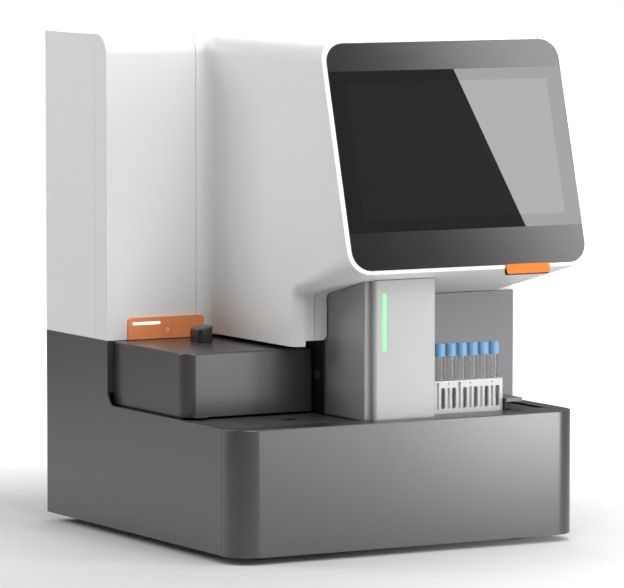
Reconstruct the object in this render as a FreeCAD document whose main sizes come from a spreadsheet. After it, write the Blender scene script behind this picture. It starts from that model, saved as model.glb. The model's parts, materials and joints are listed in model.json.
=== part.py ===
import FreeCAD, Part
import math
import os
import re
import Sketcher

# Benchtop chemistry analyzer in millimetres: +Z up, +Y to the back, origin on the floor
# under the centre of its box. A grey base carries a reagent chamber with a sliding hood,
# a sample tower with a rack bay, and a white upper housing with a leaning touch screen.

SIZES = {
    # Whole instrument, heights counted from the bottom edge of the base covers
    "body_width": 640, "base_depth": 670, "foot_height": 12,
    "base_height": 203, "shoulder_height": 309, "total_height": 813,
    # Shared fits and cuts
    "seam": 0.8, "clearance": 0.3, "running_clearance": 0.05, "overrun": 5,
    # Base covers
    "panel_wall": 4, "base_corner": 45, "cover_wrap": 49, "deck_sheet": 3, "front_rim": 45,
    "tray_corner": 25, "edge_round": 2, "panel_valley": 20, "panel_return": 12,
    "rear_recess": 16, "rear_sheet": 3, "pan_sheet": 2.5,
    # Feet
    "foot_radius": 17, "foot_top_radius": 20, "foot_inset": 80, "foot_recess_radius": 6,
    "foot_recess_depth": 5, "foot_bolt_radius": 2.5, "foot_bolt_head": 4.5, "foot_bolt_head_high": 3,
    # Upper housing
    "wall": 3, "column_width": 166, "column_setback": 445, "column_cover_depth": 44,
    "inside_round": 22, "top_round": 35, "lip_round": 38, "head_overhang": 31.5, "lip_height": 443,
    "screen_tilt": 15.27, "under_slope": 13.4, "skirt_setback": 151, "skirt_width": 21.5,
    "skirt_round": 18, "step_setback": 5, "step_lift": 8.5, "step_round": 9, "valley_round": 15,
    "hood_allowance": 5.5, "left_seam": 41, "right_seam": 43,
    # Screen
    "bezel_side": 8, "bezel_low": 6.4, "glass_round": 33, "glass_thick": 3, "display_width": 376,
    "display_height": 222, "display_low": 87, "display_thick": 9, "frame_margin": 14,
    "frame_thick": 6,
    # Orange trim
    "badge_width": 82, "badge_height": 16, "badge_right": 82, "badge_drop": 9, "badge_thick": 3,
    "badge_round": 4, "label_left": 37, "label_height": 36, "label_proud": 4, "label_round": 7,
    "label_width": 141.5,
    "window_left": 8, "window_width": 52, "window_height": 4.5, "window_rise": 24, "window_deep": 1.5,
    "key_radius": 8, "key_left": 73, "key_rise": 14, "key_stem_radius": 3, "key_stem": 5,
    "key_travel": 1.5,
    # Reagent chamber
    "chamber_width": 251.5, "tray_sheet": 3, "tray_drop": 3, "catch_width": 21, "catch_depth": 30,
    "catch_left": 172, "catch_setback": 142, "drain_radius": 4, "drain_left": 50,
    "drain_setback": 150, "side_wall_thick": 2, "side_wall_front": 163, "side_wall_top": 322,
    # Hood and its quarter-turn knob
    "hood_left": 12, "hood_right": 247, "hood_setback": 196, "hood_round": 22.5, "hood_edge": 3,
    "hood_wall": 3, "hood_lift": 4.2, "tab_left": 16, "tab_width": 22,
    "tab_reach": 8, "tab_thick": 2.5, "knob_left": 121, "knob_setback": 350,
    "knob_width": 28, "knob_depth": 38, "knob_height": 27.5, "knob_drop": 5, "knob_round": 5,
    "knob_top_round": 1.5,
    "spindle_radius": 5, "cam_length": 34, "cam_width": 14, "cam_thick": 3, "cam_gap": 3,
    "rail_width": 6, "rail_height": 9,
    # Reagent drum
    "drum_left": 129.5, "drum_setback": 318, "drum_radius": 92, "drum_height": 64, "drum_lift": 6,
    "drum_bays": 12, "bay_width": 20, "bay_long": 38, "bay_floor": 6, "bay_inset": 4,
    "cartridge_proud": 6, "shaft_radius": 6, "motor_side": 57,
    "motor_long": 52, "motor_bore_deep": 20,
    # Sample tower
    "tower_width": 127.5, "tower_gap": 1.8, "tower_setback": 38, "tower_wall": 3,
    "tower_corner": 3, "tower_cover_setback": 26, "tower_cover_left": 12.5, "tower_cover_round": 6,
    "tower_gap_top": 1, "light_left": 280, "light_width": 9, "light_low": 313, "light_high": 408,
    "light_deep": 5, "board_margin": 4, "board_thick": 1.6,
    # Probe
    "needle_left": 311, "needle_radius": 0.8, "needle_tip": 329, "needle_long": 34,
    "carriage_width": 46, "carriage_height": 20, "carriage_depth": 20, "arm_width": 14,
    "arm_height": 8, "rod_radius": 4, "rod_spread": 30, "rod_setback": 150,
    "plate_thick": 5, "plate_margin": 10, "rod_top_gap": 1.5,
    # Bay, well and rack
    "bay_setback": 211, "bay_panel": 3, "well_front": 58, "well_side": 28, "well_floor": 195,
    "ledge_width": 50, "ledge_drop": 3,
    "well_sheet": 2, "well_rear_margin": 5, "well_left_margin": 6, "rack_side": 107.5,
    "rack_front": 69, "rack_depth": 22, "rack_top": 255, "rack_lift": 0.3, "tube_count": 7,
    "tube_pitch": 20.6, "tube_first": 9.9, "tube_radius": 6.5, "tube_wall": 1, "tube_long": 100,
    "tube_clearance": 0.4, "rack_floor": 5, "slot_low": 14, "slot_high": 48.5, "slot_tall": 57,
    "wide_slot": 8, "narrow_slot": 5, "narrow_deep": 5, "mark_radius": 1.2, "mark_deep": 1.5,
    "mark_drop": 5, "cap_radius": 8.25, "cap_height": 21, "cap_overlap": 6,
    "lane_margin": 6, "window_top": 326,
    # Rack pusher: an arm through the bay's back wall with a finger at the rack's end
    "pusher_setback": 62, "pusher_width": 31, "pusher_height": 6.5, "pusher_rise": 12.3,
    "pusher_travel": 120, "finger_width": 3, "finger_depth": 14, "finger_lift": 2,
    "guide_side": 8, "guide_margin": 10, "lip_thick": 4, "slot_gap": 1,
    # Inner frame and modules
    "post_side": 25, "post_inset": 12, "post_front": 236, "shelf_sheet": 3, "shelf_height": 330,
    "incubator_radius": 75, "incubator_height": 38, "incubator_right": 210, "incubator_setback": 360,
    "head_block_wide": 62, "head_block_deep": 90, "head_block_high": 58, "supply_wide": 120,
    "supply_deep": 200, "supply_high": 62, "supply_right": 40, "supply_setback": 360,
    "board_wide": 260, "board_high": 180, "board_right": 60, "board_low": 420, "board_standoff": 6,
    # Rear fittings
    "fan_side": 92, "fan_thick": 25, "fan_right": 110, "fan_drop": 113, "fan_bore": 43,
    "fan_hub": 18, "fan_blade": 39, "fan_blades": 7, "blade_thick": 2, "blade_pitch": 38,
    "grille_bars": 5, "grille_slot": 6, "grille_pitch": 14, "axle_radius": 3, "strut_width": 8,
    "strut_thick": 3, "inlet_wide": 50, "inlet_high": 28, "inlet_deep": 14, "inlet_right": 120,
    "inlet_up": 90, "inlet_flange": 8, "inlet_flange_thick": 2, "pin_wide": 2, "pin_high": 6,
    "pin_pitch": 9, "switch_gap": 24, "rocker_wide": 14, "rocker_high": 22,
    "rocker_sunk": 2.7, "rocker_tilt": 8, "bezel_wall": 3, "bezel_deep": 12, "ports_left": 90,
    "ports_up": 110,
    "ports_wide": 96, "ports_high": 30, "ports_deep": 12, "port_wide": 14, "port_high": 7,
    "port_pitch": 23, "port_count": 4, "port_hollow": 8, "screw_radius": 4, "screw_high": 2.2,
    "screw_shank": 1.8, "screw_long": 6, "screw_inset": 9, "screw_rows": 4,
}

PLACES = {
    "right_end": "body_width / 2",
    "left_end": "-body_width / 2",
    "base_front": "(front_overhang - base_depth) / 2",
    "rear_end": "(front_overhang + base_depth) / 2",
    "base_bottom": "foot_height",
    "deck": "foot_height + base_height",
    "shoulder": "foot_height + shoulder_height",
    "roof": "foot_height + total_height",
    "tilt": "screen_tilt * 1deg",
    "slope": "under_slope * 1deg",
    "front_overhang": "head_overhang + badge_drop * sin(tilt) + badge_thick * cos(tilt)",
    "column_front": "base_front + column_setback",
    "column_right": "left_end + column_width",
    "head_left": "column_right + inside_round",
    "head_front": "base_front - head_overhang",
    "head_lip": "foot_height + lip_height",
    "face_length": "(roof - head_lip) / cos(tilt)",
    "skirt_front": "base_front + skirt_setback",
    "skirt_right": "head_left + skirt_width",
    "skirt_bottom": "shoulder + hood_allowance",
    "step_front": "skirt_front + step_setback",
    "step_bottom": "skirt_bottom + step_lift",
    "chamber_right": "left_end + chamber_width",
    "bay_back": "base_front + bay_setback",
    "tray_top": "deck - tray_drop",
    "rear_skin": "rear_end - rear_recess",
    "rear_inner": "rear_skin - rear_sheet",
    "hood_top": "shoulder - clearance - seam",
    "hood_bottom": "tray_top + hood_lift",
    "knob_x": "left_end + knob_left + knob_width / 2",
    "knob_y": "base_front + knob_setback + knob_depth / 2",
    "drum_x": "left_end + drum_left",
    "drum_y": "base_front + drum_setback",
    "drum_bottom": "tray_top + drum_lift",
    "tray_bottom": "tray_top - tray_sheet",
    "tower_left": "chamber_right + tower_gap",
    "tower_right": "tower_left + tower_width",
    "tower_front": "base_front + tower_setback",
    "tower_face": "base_front + tower_cover_setback",
    "cover_left": "tower_left + tower_cover_left",
    "rod_y": "base_front + rod_setback",
    "needle_x": "left_end + needle_left",
    "needle_z": "foot_height + needle_tip",
    "rack_y": "base_front + rack_front + rack_depth / 2",
    "rack_base": "foot_height + well_floor + rack_lift",
    "tube_bottom": "rack_base + rack_floor + clearance",
    "tube_top": "tube_bottom + tube_long",
    "rack_right": "right_end - rack_side",
    "rack_left": "rack_right - 2 * tube_first - (tube_count - 1) * tube_pitch",
    "pusher_x": "rack_right + clearance + finger_width",
    "pusher_z": "deck + pusher_rise",
    "lane_front": "base_front + rack_front - lane_margin",
    "lane_rear": "base_front + rack_front + rack_depth + lane_margin",
    "label_right": "label_x + label_width",
    "label_x": "left_end + label_left",
    "label_face": "column_front - label_proud",
    "key_x": "label_x + key_left",
    "key_z": "shoulder + key_rise",
    "shelf_top": "foot_height + shelf_height",
    "post_back": "rear_inner - seam - post_side",
    "incubator_x": "right_end - incubator_right",
    "incubator_y": "base_front + incubator_setback",
    "fan_x": "right_end - fan_right",
    "fan_z": "roof - fan_drop",
    "inlet_x": "right_end - inlet_right",
    "inlet_z": "foot_height + inlet_up",
    "switch_x": "inlet_x - inlet_wide / 2 - inlet_flange - switch_gap",
    "ports_x": "left_end + ports_left",
    "ports_z": "foot_height + ports_up",
}

DOC = FreeCAD.newDocument("chemistry_analyzer")
SHEET = DOC.addObject("Spreadsheet::Sheet", "sizes")
PIECES = []
PLANES = {"XY": "XY_Plane", "XZ": "XZ_Plane", "YZ": "YZ_Plane"}
TIP = 0.01
NEAR = 0.1


def fill_sheet():
    """Writes each driving size in its own cell, with its name as the alias."""
    for row, (name, size) in enumerate(SIZES.items(), start=1):
        SHEET.set(f"A{row}", str(size))
        SHEET.setAlias(f"A{row}", name)
    DOC.recompute()


def full(formula):
    """Writes a formula out in the cells of the sheet."""
    def cell(word):
        name = word.group()
        if name in SIZES:
            return f"sizes.{name}"
        return f"({full(PLACES[name])})" if name in PLACES else name
    return re.sub(r"[a-z_]+[a-z0-9_]*", cell, formula)


def value(formula):
    """The number that a formula gives."""
    result = SHEET.evalExpression(full(formula))
    return float(getattr(result, "Value", result))


def bind(item, prop, formula):
    item.setExpression(prop, full(formula))


def place(item, x="0", y="0", z="0"):
    for axis, formula in (("x", x), ("y", y), ("z", z)):
        bind(item, f"Placement.Base.{axis}", formula)
    return item


def turn(item, axis, formula):
    item.Placement = FreeCAD.Placement(FreeCAD.Vector(), FreeCAD.Rotation(axis, value(formula)))
    bind(item, "Placement.Rotation.Angle", formula)
    return item


def under(y):
    """Height of the head's sloping underside at a place y."""
    return f"(head_lip - ({y} - head_front) * tan(slope))"


def block(name, x, y, z):
    """A box between two places along each axis."""
    item = DOC.addObject("Part::Box", name)
    for side, (low, high) in (("Length", x), ("Width", y), ("Height", z)):
        bind(item, side, f"({high}) - ({low})")
    return place(item, x[0], y[0], z[0])


TALL_SLOTS = (0, 2)
AXES = {"z": (FreeCAD.Vector(0, 0, 1), 0), "y": (FreeCAD.Vector(1, 0, 0), -90),
        "x": (FreeCAD.Vector(0, 1, 0), 90)}


def rod(name, radius, length, base, axis="z"):
    """A round bar from its base centre along an axis."""
    item = DOC.addObject("Part::Cylinder", name)
    item.Placement = FreeCAD.Placement(FreeCAD.Vector(), FreeCAD.Rotation(*AXES[axis]))
    bind(item, "Radius", radius)
    bind(item, "Height", length)
    return place(item, *base)


def join(kind, name, items):
    item = DOC.addObject(kind, name)
    if kind == "Part::Compound":
        item.Links = items
    else:
        item.Shapes = items
    return item


def cut(name, base, tool):
    item = DOC.addObject("Part::Cut", name)
    item.Base, item.Tool = base, tool
    return item


def common(name, base, tool):
    item = DOC.addObject("Part::Common", name)
    item.Base, item.Tool = base, tool
    return item


def fuse(name, items):
    item = join("Part::MultiFuse", name, items)
    item.Refine = True
    return item


def group(name, items):
    return join("Part::Compound", name, items)


def keep(label, item):
    """Names a finished sub-part and lists it for export."""
    item.Label = label
    PIECES.append(item)
    return item


def corner_parts(points):
    """Where each corner's rounding meets its two sides, in numbers."""
    parts = []
    count = len(points)
    for index, (x, y, radius) in enumerate(points):
        here = FreeCAD.Vector(x, y, 0)
        before = FreeCAD.Vector(*points[index - 1][:2], 0) - here
        after = FreeCAD.Vector(*points[(index + 1) % count][:2], 0) - here
        if not radius:
            parts.append((here, here, None))
            continue
        half = before.getAngle(after) / 2
        reach = radius / math.tan(half)
        before.normalize()
        after.normalize()
        inward = before + after
        inward.normalize()
        parts.append((here + before * reach, here + after * reach, here + inward * (radius / math.sin(half))))
    return parts


def draw_loop(sketch, outline):
    """A closed outline whose corners sit at named places, each sharp or rounded."""
    corners = [(tuple(corner) + ("0",))[:3] for corner in outline]
    numbers = [tuple(value(part) for part in corner) for corner in corners]
    parts = corner_parts(numbers)
    count = len(parts)
    marks, lines, arcs = [], [], []
    for index, (entry, leave, centre) in enumerate(parts):
        x, y, radius = numbers[index]
        marks.append(sketch.addGeometry(Part.Point(FreeCAD.Vector(x, y, 0)), True))
        following = parts[(index + 1) % count]
        lines.append(sketch.addGeometry(Part.LineSegment(leave, following[0]), False))
        arcs.append(None)
        if centre is not None:
            first, last = (math.atan2(p.y - centre.y, p.x - centre.x) for p in (entry, leave))
            if (last - first) % (2 * math.pi) > math.pi:
                first, last = last, first
            circle = Part.Circle(centre, FreeCAD.Vector(0, 0, 1), radius)
            arcs[-1] = (sketch.addGeometry(Part.ArcOfCircle(circle, first, last), False), first, centre)
    for index, corner in enumerate(corners):
        mark, line_in, line_out = marks[index], lines[index - 1], lines[index]
        for kind, formula in (("DistanceX", corner[0]), ("DistanceY", corner[1])):
            number = sketch.addConstraint(Sketcher.Constraint(kind, -1, 1, mark, 1, value(formula)))
            sketch.setExpression(f"Constraints[{number}]", full(formula))
        if arcs[index] is None:
            sketch.addConstraint(Sketcher.Constraint("Coincident", line_in, 2, mark, 1))
            sketch.addConstraint(Sketcher.Constraint("Coincident", line_out, 1, mark, 1))
            continue
        arc, first, centre = arcs[index]
        entry = parts[index][0]
        entry_angle = math.atan2(entry.y - centre.y, entry.x - centre.x)
        start_is_entry = abs(entry_angle - first) < TIP
        entry_end, leave_end = (1, 2) if start_is_entry else (2, 1)
        sketch.addConstraint(Sketcher.Constraint("PointOnObject", mark, 1, line_in))
        sketch.addConstraint(Sketcher.Constraint("PointOnObject", mark, 1, line_out))
        sketch.addConstraint(Sketcher.Constraint("Tangent", line_in, 2, arc, entry_end))
        sketch.addConstraint(Sketcher.Constraint("Tangent", line_out, 1, arc, leave_end))
        number = sketch.addConstraint(Sketcher.Constraint("Radius", arc, value(corner[2])))
        sketch.setExpression(f"Constraints[{number}]", full(corner[2]))


def draw_circle(sketch, x, y, radius):
    centre = FreeCAD.Vector(value(x), value(y), 0)
    ring = sketch.addGeometry(Part.Circle(centre, FreeCAD.Vector(0, 0, 1), value(radius)), False)
    for kind, formula in (("DistanceX", x), ("DistanceY", y)):
        number = sketch.addConstraint(Sketcher.Constraint(kind, -1, 1, ring, 3, value(formula)))
        sketch.setExpression(f"Constraints[{number}]", full(formula))
    number = sketch.addConstraint(Sketcher.Constraint("Radius", ring, value(radius)))
    sketch.setExpression(f"Constraints[{number}]", full(radius))


def sketch_at(body, plane, level, outlines):
    """A sketch on one of the body's own planes, raised to a level."""
    sketch = body.newObject("Sketcher::SketchObject", f"{body.Name}_outline")
    origin = next(item for item in body.Origin.OriginFeatures if item.Role == PLANES[plane])
    sketch.AttachmentSupport = (origin, "")
    sketch.MapMode = "FlatFace"
    bind(sketch, "AttachmentOffset.Base.z", f"-({level})" if plane == "XZ" else level)
    for outline in outlines:
        if isinstance(outline, tuple):
            draw_circle(sketch, *outline)
        else:
            draw_loop(sketch, outline)
    return sketch


def pad(body, plane, low, high, *outlines):
    """Adds material between two levels square to a plane."""
    sketch = sketch_at(body, plane, high if plane == "XZ" else low, outlines)
    feature = body.newObject("PartDesign::Pad", f"{body.Name}_pad")
    feature.Profile = sketch
    bind(feature, "Length", f"({high}) - ({low})")
    return body


def pocket(body, plane, low, high, *outlines):
    """Takes material away between two levels square to a plane."""
    DOC.recompute()
    before = body.Shape.Volume
    sketch = sketch_at(body, plane, low if plane == "XZ" else high, outlines)
    feature = body.newObject("PartDesign::Pocket", f"{body.Name}_pocket")
    feature.Profile = sketch
    bind(feature, "Length", f"({high}) - ({low})")
    DOC.recompute()
    if body.Shape.Volume >= before:
        raise SystemExit(f"{feature.Name} cuts nothing")
    return body


def body_of(name):
    return DOC.addObject("PartDesign::Body", name)


def solid(name, plane, low, high, *outlines):
    return pad(body_of(name), plane, low, high, *outlines)


def rectangle(x, y, radius="0"):
    return [(x[0], y[0], radius), (x[1], y[0], radius), (x[1], y[1], radius), (x[0], y[1], radius)]


def edge_numbers(shape, test):
    """Numbers of the edges whose two end points pass a test."""
    ends = [[corner.Point for corner in edge.Vertexes] for edge in shape.Edges]
    return [number for number, points in enumerate(ends, start=1) if len(points) > 1 and test(*points)]


def soften(body, radius, test):
    """Rounds the edges of a body that pass a test."""
    DOC.recompute()
    tip = body.Tip
    feature = body.newObject("PartDesign::Fillet", f"{body.Name}_round")
    feature.Base = (tip, [f"Edge{number}" for number in edge_numbers(tip.Shape, test)])
    bind(feature, "Radius", radius)
    return body


def round_solid(name, base, rounds):
    """Rounds several sets of edges; each edge may change its radius along its length."""
    DOC.recompute()
    item = DOC.addObject("Part::Fillet", name)
    item.Base = base
    edges = []
    for test, radius_at in rounds:
        for number in edge_numbers(base.Shape, test):
            edge = base.Shape.Edges[number - 1]
            ends = (edge.valueAt(edge.FirstParameter), edge.valueAt(edge.LastParameter))
            edges.append((number, radius_at(ends[0]), radius_at(ends[1])))
    item.Edges = edges
    DOC.recompute()
    return item


def close(number, formula):
    return abs(number - value(formula)) < NEAR


# Upper housing

def head_profile(inset, wall_y, low, rear, low_end):
    """Side outline of the head: screen, roof, back, underside, each moved in by the inset."""
    rise = f"(({inset}) * (1 / cos(slope) - tan(slope) / cos(tilt)) / (1 + tan(tilt) * tan(slope)))"
    front = [(f"head_front + {rise} * tan(tilt) + ({inset}) / cos(tilt)", f"head_lip + {rise}"),
             (f"head_front + (roof - ({inset}) - head_lip) * tan(tilt) + ({inset}) / cos(tilt)",
              f"roof - ({inset})"),
             (rear, f"roof - ({inset})"), (rear, low_end)]
    inner_wall = f"{wall_y} + ({inset})"
    if low is not None:
        front += [(f"column_front + ({inset})", low_end), (f"column_front + ({inset})", f"{low} + ({inset})")]
    bottom = low_end if low is None else f"{low} + ({inset})"
    corner = "0" if low is None else f"valley_round + ({inset})"
    meeting = f"{under(f'({inner_wall})')} + ({inset}) / cos(slope)"
    return front + [(inner_wall, bottom), (inner_wall, meeting, corner)]


def housing_block(name, inset, rear, low_end):
    """The housing as one rounded block, outer for no inset and inner for one wall."""
    bay_wall = "bay_back + bay_panel + seam"
    skirt = solid(f"{name}_skirt", "YZ", f"head_left + ({inset})", f"skirt_right - ({inset})",
                  head_profile(inset, "skirt_front", "skirt_bottom", rear, low_end))
    step = solid(f"{name}_step", "YZ", f"skirt_right - ({inset})", f"chamber_right - ({inset})",
                 head_profile(inset, "step_front", "step_bottom", rear, low_end))
    head = solid(f"{name}_head", "YZ", f"chamber_right - ({inset})", f"right_end - ({inset})",
                 head_profile(inset, bay_wall, None, rear, low_end))
    column = block(f"{name}_column", (f"left_end + ({inset})", "skirt_right - wall"),
                   (f"column_front + ({inset})", rear), (low_end, f"roof - ({inset})"))
    rough = fuse(f"{name}_rough", [column, skirt, step, head])
    left, front, top = f"head_left + ({inset})", f"column_front + ({inset})", f"roof - ({inset})"

    def inner_corner(a, b):
        return all(close(p.x, left) and close(p.y, front) for p in (a, b)) and abs(a.z - b.z) > TIP

    radius = value(f"inside_round + ({inset})")
    return round_solid(f"{name}_valley", rough, [(inner_corner, lambda p: radius)]), left, top


def rounded_housing(name, inset, rear, low_end):
    """Rounds the top and lower edges of the housing block."""
    blank, left, top = housing_block(name, inset, rear, low_end)
    right = f"right_end - ({inset})"
    skirt_y = value(f"skirt_front + ({inset})")
    lip_z = value(f"head_lip + ({inset})")
    outer_x = value(f"left_end + ({inset})")
    left_x, rear_y, bay_y = value(left), value(rear), value("bay_back")
    step_x, step_z = f"chamber_right - ({inset})", f"step_bottom + ({inset})"

    def top_left(a, b):
        level = close(a.z, top) and close(b.z, top) and max(a.x, b.x) < left_x + TIP
        along_wall = abs(a.x - outer_x) < TIP and abs(b.x - outer_x) < TIP
        return level and not along_wall and not min(a.y, b.y) > rear_y - TIP

    def low_left(a, b):
        at_wall = close(a.x, left) and close(b.x, left)
        return at_wall and max(a.y, b.y) < skirt_y + TIP and max(a.z, b.z) < lip_z + TIP

    def top_right(a, b):
        return all(close(p.x, right) and close(p.z, top) for p in (a, b))

    def low_right(a, b):
        sloping = abs(a.z - b.z) > TIP and abs(a.y - b.y) > TIP
        return sloping and all(close(p.x, right) for p in (a, b)) and max(a.z, b.z) < lip_z + TIP

    def step_end(a, b):
        on_edge = all(close(p.x, step_x) and close(p.z, step_z) for p in (a, b))
        return on_edge and min(a.y, b.y) < bay_y

    def low_radius(point):
        kind = "lip_round" if point.y < value("base_front") else "skirt_round"
        return value(f"{kind} - ({inset})")

    wide, lip, step = (value(f"{kind} - ({inset})") for kind in ("top_round", "lip_round", "step_round"))
    return round_solid(f"{name}_rounded", blank, [
        (top_left, lambda p: wide), (top_right, lambda p: wide),
        (low_left, low_radius), (low_right, lambda p: lip), (step_end, lambda p: step)])


def lean(item):
    """Leans a piece drawn upright back onto the screen's plane."""
    turn(item, FreeCAD.Vector(1, 0, 0), "-screen_tilt")
    return place(item, "0", "head_front", "head_lip")


def housing_covers():
    outer = rounded_housing("housing", "0", "rear_end", "shoulder")
    inner = rounded_housing("cavity", "wall", "rear_end + overrun", "shoulder - overrun")
    hollow = cut("housing_shell", outer, inner)
    opening = lean(solid("screen_opening", "XZ", "-overrun", "4 * wall", rectangle(
        ("head_left + bezel_side", "right_end - bezel_side"),
        ("bezel_low", "face_length - bezel_low"), "glass_round")))
    shell = cut("housing_open", hollow, opening)
    behind = "column_front + column_cover_depth"
    whole_y = ("head_front - overrun", "rear_end + overrun")
    whole_z = ("shoulder - overrun", "roof + overrun")
    column_x = ("left_end - overrun", "column_right - seam / 2")
    centre_x = ("head_left + left_seam + seam / 2", "right_end - right_seam - seam / 2")
    middle = "(head_lip + roof) / 2"
    regions = {
        "column_front_cover": (column_x, (whole_y[0], f"{behind} - seam / 2"), whole_z),
        "column_side_cover": (column_x, (f"{behind} + seam / 2", whole_y[1]), whole_z),
        "head_left_cover": (("column_right + seam / 2", "head_left + left_seam - seam / 2"),
                            whole_y, whole_z),
        "head_top_cover": (centre_x, whole_y, (middle, whole_z[1])),
        "head_under_cover": (centre_x, whole_y, (whole_z[0], middle)),
        "head_right_cover": (("right_end - right_seam + seam / 2", "right_end + overrun"),
                             whole_y, whole_z),
    }
    covers = {}
    for name, (x, y, z) in regions.items():
        covers[name] = common(f"{name}_cut", shell, block(f"{name}_region", x, y, z))
    key_hole = rod("key_hole", "key_stem_radius + clearance", "wall + 2 * overrun",
                   ("key_x", "column_front - overrun", "key_z"), "y")
    covers["column_front_cover"] = cut("column_front_drilled", covers["column_front_cover"], key_hole)
    for name, cover in covers.items():
        keep(name, cover)


def screen():
    """Touch glass, display and the steel frame behind them, drawn upright and leaned back."""
    glass_x = ("head_left + bezel_side + clearance", "right_end - bezel_side - clearance")
    glass_z = ("bezel_low + clearance", "face_length - bezel_low - clearance")
    keep("touch_glass", lean(solid("glass", "XZ", "clearance", "clearance + glass_thick",
                                   rectangle(glass_x, glass_z, "glass_round - clearance"))))
    centre = "(head_left + right_end) / 2"
    display_x = (f"{centre} - display_width / 2", f"{centre} + display_width / 2")
    display_z = ("display_low", "display_low + display_height")
    back = "clearance + glass_thick"
    keep("display_panel", lean(solid("display", "XZ", back, f"{back} + display_thick",
                                     rectangle(display_x, display_z))))
    frame_x = (f"{display_x[0]} - frame_margin", f"{display_x[1]} + frame_margin")
    frame_z = ("display_low - frame_margin", "display_low + display_height + frame_margin")
    gap_x = (f"{display_x[0]} - clearance", f"{display_x[1]} + clearance")
    gap_z = ("display_low - clearance", "display_low + display_height + clearance")
    frame = solid("frame", "XZ", back, f"{back} + frame_thick", rectangle(frame_x, frame_z))
    keep("display_frame", lean(pocket(frame, "XZ", back, f"{back} + frame_thick", rectangle(gap_x, gap_z))))


def orange_trim():
    badge_x = ("right_end - badge_right - badge_width", "right_end - badge_right")
    badge_z = ("-badge_drop", "badge_height - badge_drop")
    badge = solid("badge", "XZ", "-badge_thick", "0", rectangle(badge_x, badge_z, "badge_round"))
    keep("orange_badge", lean(badge))
    corner = [("label_x", "shoulder"), ("label_x", "shoulder + label_height", "label_round"),
              ("label_right", "shoulder + label_height", "label_round"), ("label_right", "shoulder")]
    plate = solid("label", "XZ", "label_face", "column_front", corner)
    window_x = ("label_x + window_left", "label_x + window_left + window_width")
    window_z = ("shoulder + window_rise", "shoulder + window_rise + window_height")
    pocket(plate, "XZ", "label_face - overrun", "label_face + window_deep",
           rectangle(window_x, window_z, "window_height / 3"))
    pocket(plate, "XZ", "label_face - overrun", "column_front + overrun",
           ("key_x", "key_z", "key_radius + clearance"))
    curve = rod("label_curve", "inside_round - running_clearance", "label_height + 2 * overrun",
                ("column_right", "column_front - inside_round", "shoulder - overrun"))
    beyond = block("label_beyond", ("column_right", "head_left + overrun"),
                   ("column_front - inside_round", "column_front + overrun"),
                   ("shoulder - overrun", "shoulder + label_height + overrun"))
    keep("orange_label", cut("label_trimmed", plate, cut("label_waste", beyond, curve)))
    keep("indicator_window", solid("indicator", "XZ", "label_face", "label_face + window_deep", rectangle(
        (f"{window_x[0]} + running_clearance", f"{window_x[1]} - running_clearance"),
        (f"{window_z[0]} + running_clearance", f"{window_z[1]} - running_clearance"),
        "window_height / 3")))
    cap = rod("key_cap", "key_radius", "label_proud - key_travel - clearance",
              ("key_x", "label_face", "key_z"), "y")
    stem = rod("key_stem_bar", "key_stem_radius", "label_proud + key_stem",
               ("key_x", "label_face", "key_z"), "y")
    keep("power_button", fuse("key", [cap, stem]))


# Base

def front_cover():
    left, right = "left_end", "right_end"
    back = "base_front + cover_wrap"
    cover = solid("front_cover", "XY", "base_bottom", "deck", [
        (left, back), (left, "base_front", "base_corner"),
        (right, "base_front", "base_corner"), (right, back)])
    inner_round = "base_corner - panel_wall"
    pocket(cover, "XY", "base_bottom", "deck - deck_sheet", [
        ("left_end + panel_wall", f"{back} + overrun"),
        ("left_end + panel_wall", "base_front + panel_wall", inner_round),
        ("right_end - panel_wall", "base_front + panel_wall", inner_round),
        ("right_end - panel_wall", f"{back} + overrun")])
    inside = "left_end + panel_wall + seam"
    pad(cover, "XY", "deck - deck_sheet", "deck",
        rectangle((inside, right), (f"{back} - seam", "bay_back")))
    pocket(cover, "XY", "deck - deck_sheet", "deck", [
        (inside, "bay_back + overrun"), (inside, "base_front + front_rim", "tray_corner"),
        ("chamber_right", "base_front + front_rim"), ("chamber_right", "bay_back + overrun")])
    pocket(cover, "XY", "deck - deck_sheet", "deck",
           rectangle(("tower_left + well_left_margin", "right_end - well_side"),
                     ("base_front + well_front", "bay_back - well_rear_margin")))

    def outer_top(a, b):
        level = close(a.z, "deck") and close(b.z, "deck")
        on_side = [close(abs(point.x), "right_end") for point in (a, b)]
        on_front = [close(point.y, "base_front") for point in (a, b)]
        return level and (all(on_side) or all(on_front) or (any(on_side) and any(on_front)))

    keep("base_front_cover", soften(cover, "edge_round", outer_top))


def side_panels():
    start = "base_front + cover_wrap + seam"
    left = solid("left_panel", "YZ", "left_end", "left_end + panel_wall", [
        (start, "base_bottom"), ("rear_end", "base_bottom"), ("rear_end", "shoulder"),
        ("column_front", "shoulder"), ("column_front", "deck", "panel_valley"), (start, "deck")])
    pad(left, "XZ", "column_front", "column_front + panel_wall", [
        ("left_end", "deck + panel_valley"), ("left_end + panel_return", "deck + panel_valley"),
        ("left_end + panel_return", "shoulder"), ("left_end", "shoulder")])
    keep("left_side_panel", left)
    ledge = "deck - deck_sheet - seam"
    rise = "bay_back + bay_panel + seam"
    keep("right_side_panel", solid("right_panel", "YZ", "right_end - panel_wall", "right_end", [
        (start, "base_bottom"), ("rear_end", "base_bottom"), ("rear_end", "shoulder"),
        (rise, "shoulder"), (rise, ledge), (start, ledge)]))


def foot_places():
    low, high = "base_front + foot_inset", "rear_skin - foot_inset"
    return [(x, y) for x in ("left_end + foot_inset", "right_end - foot_inset") for y in (low, high)]


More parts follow.
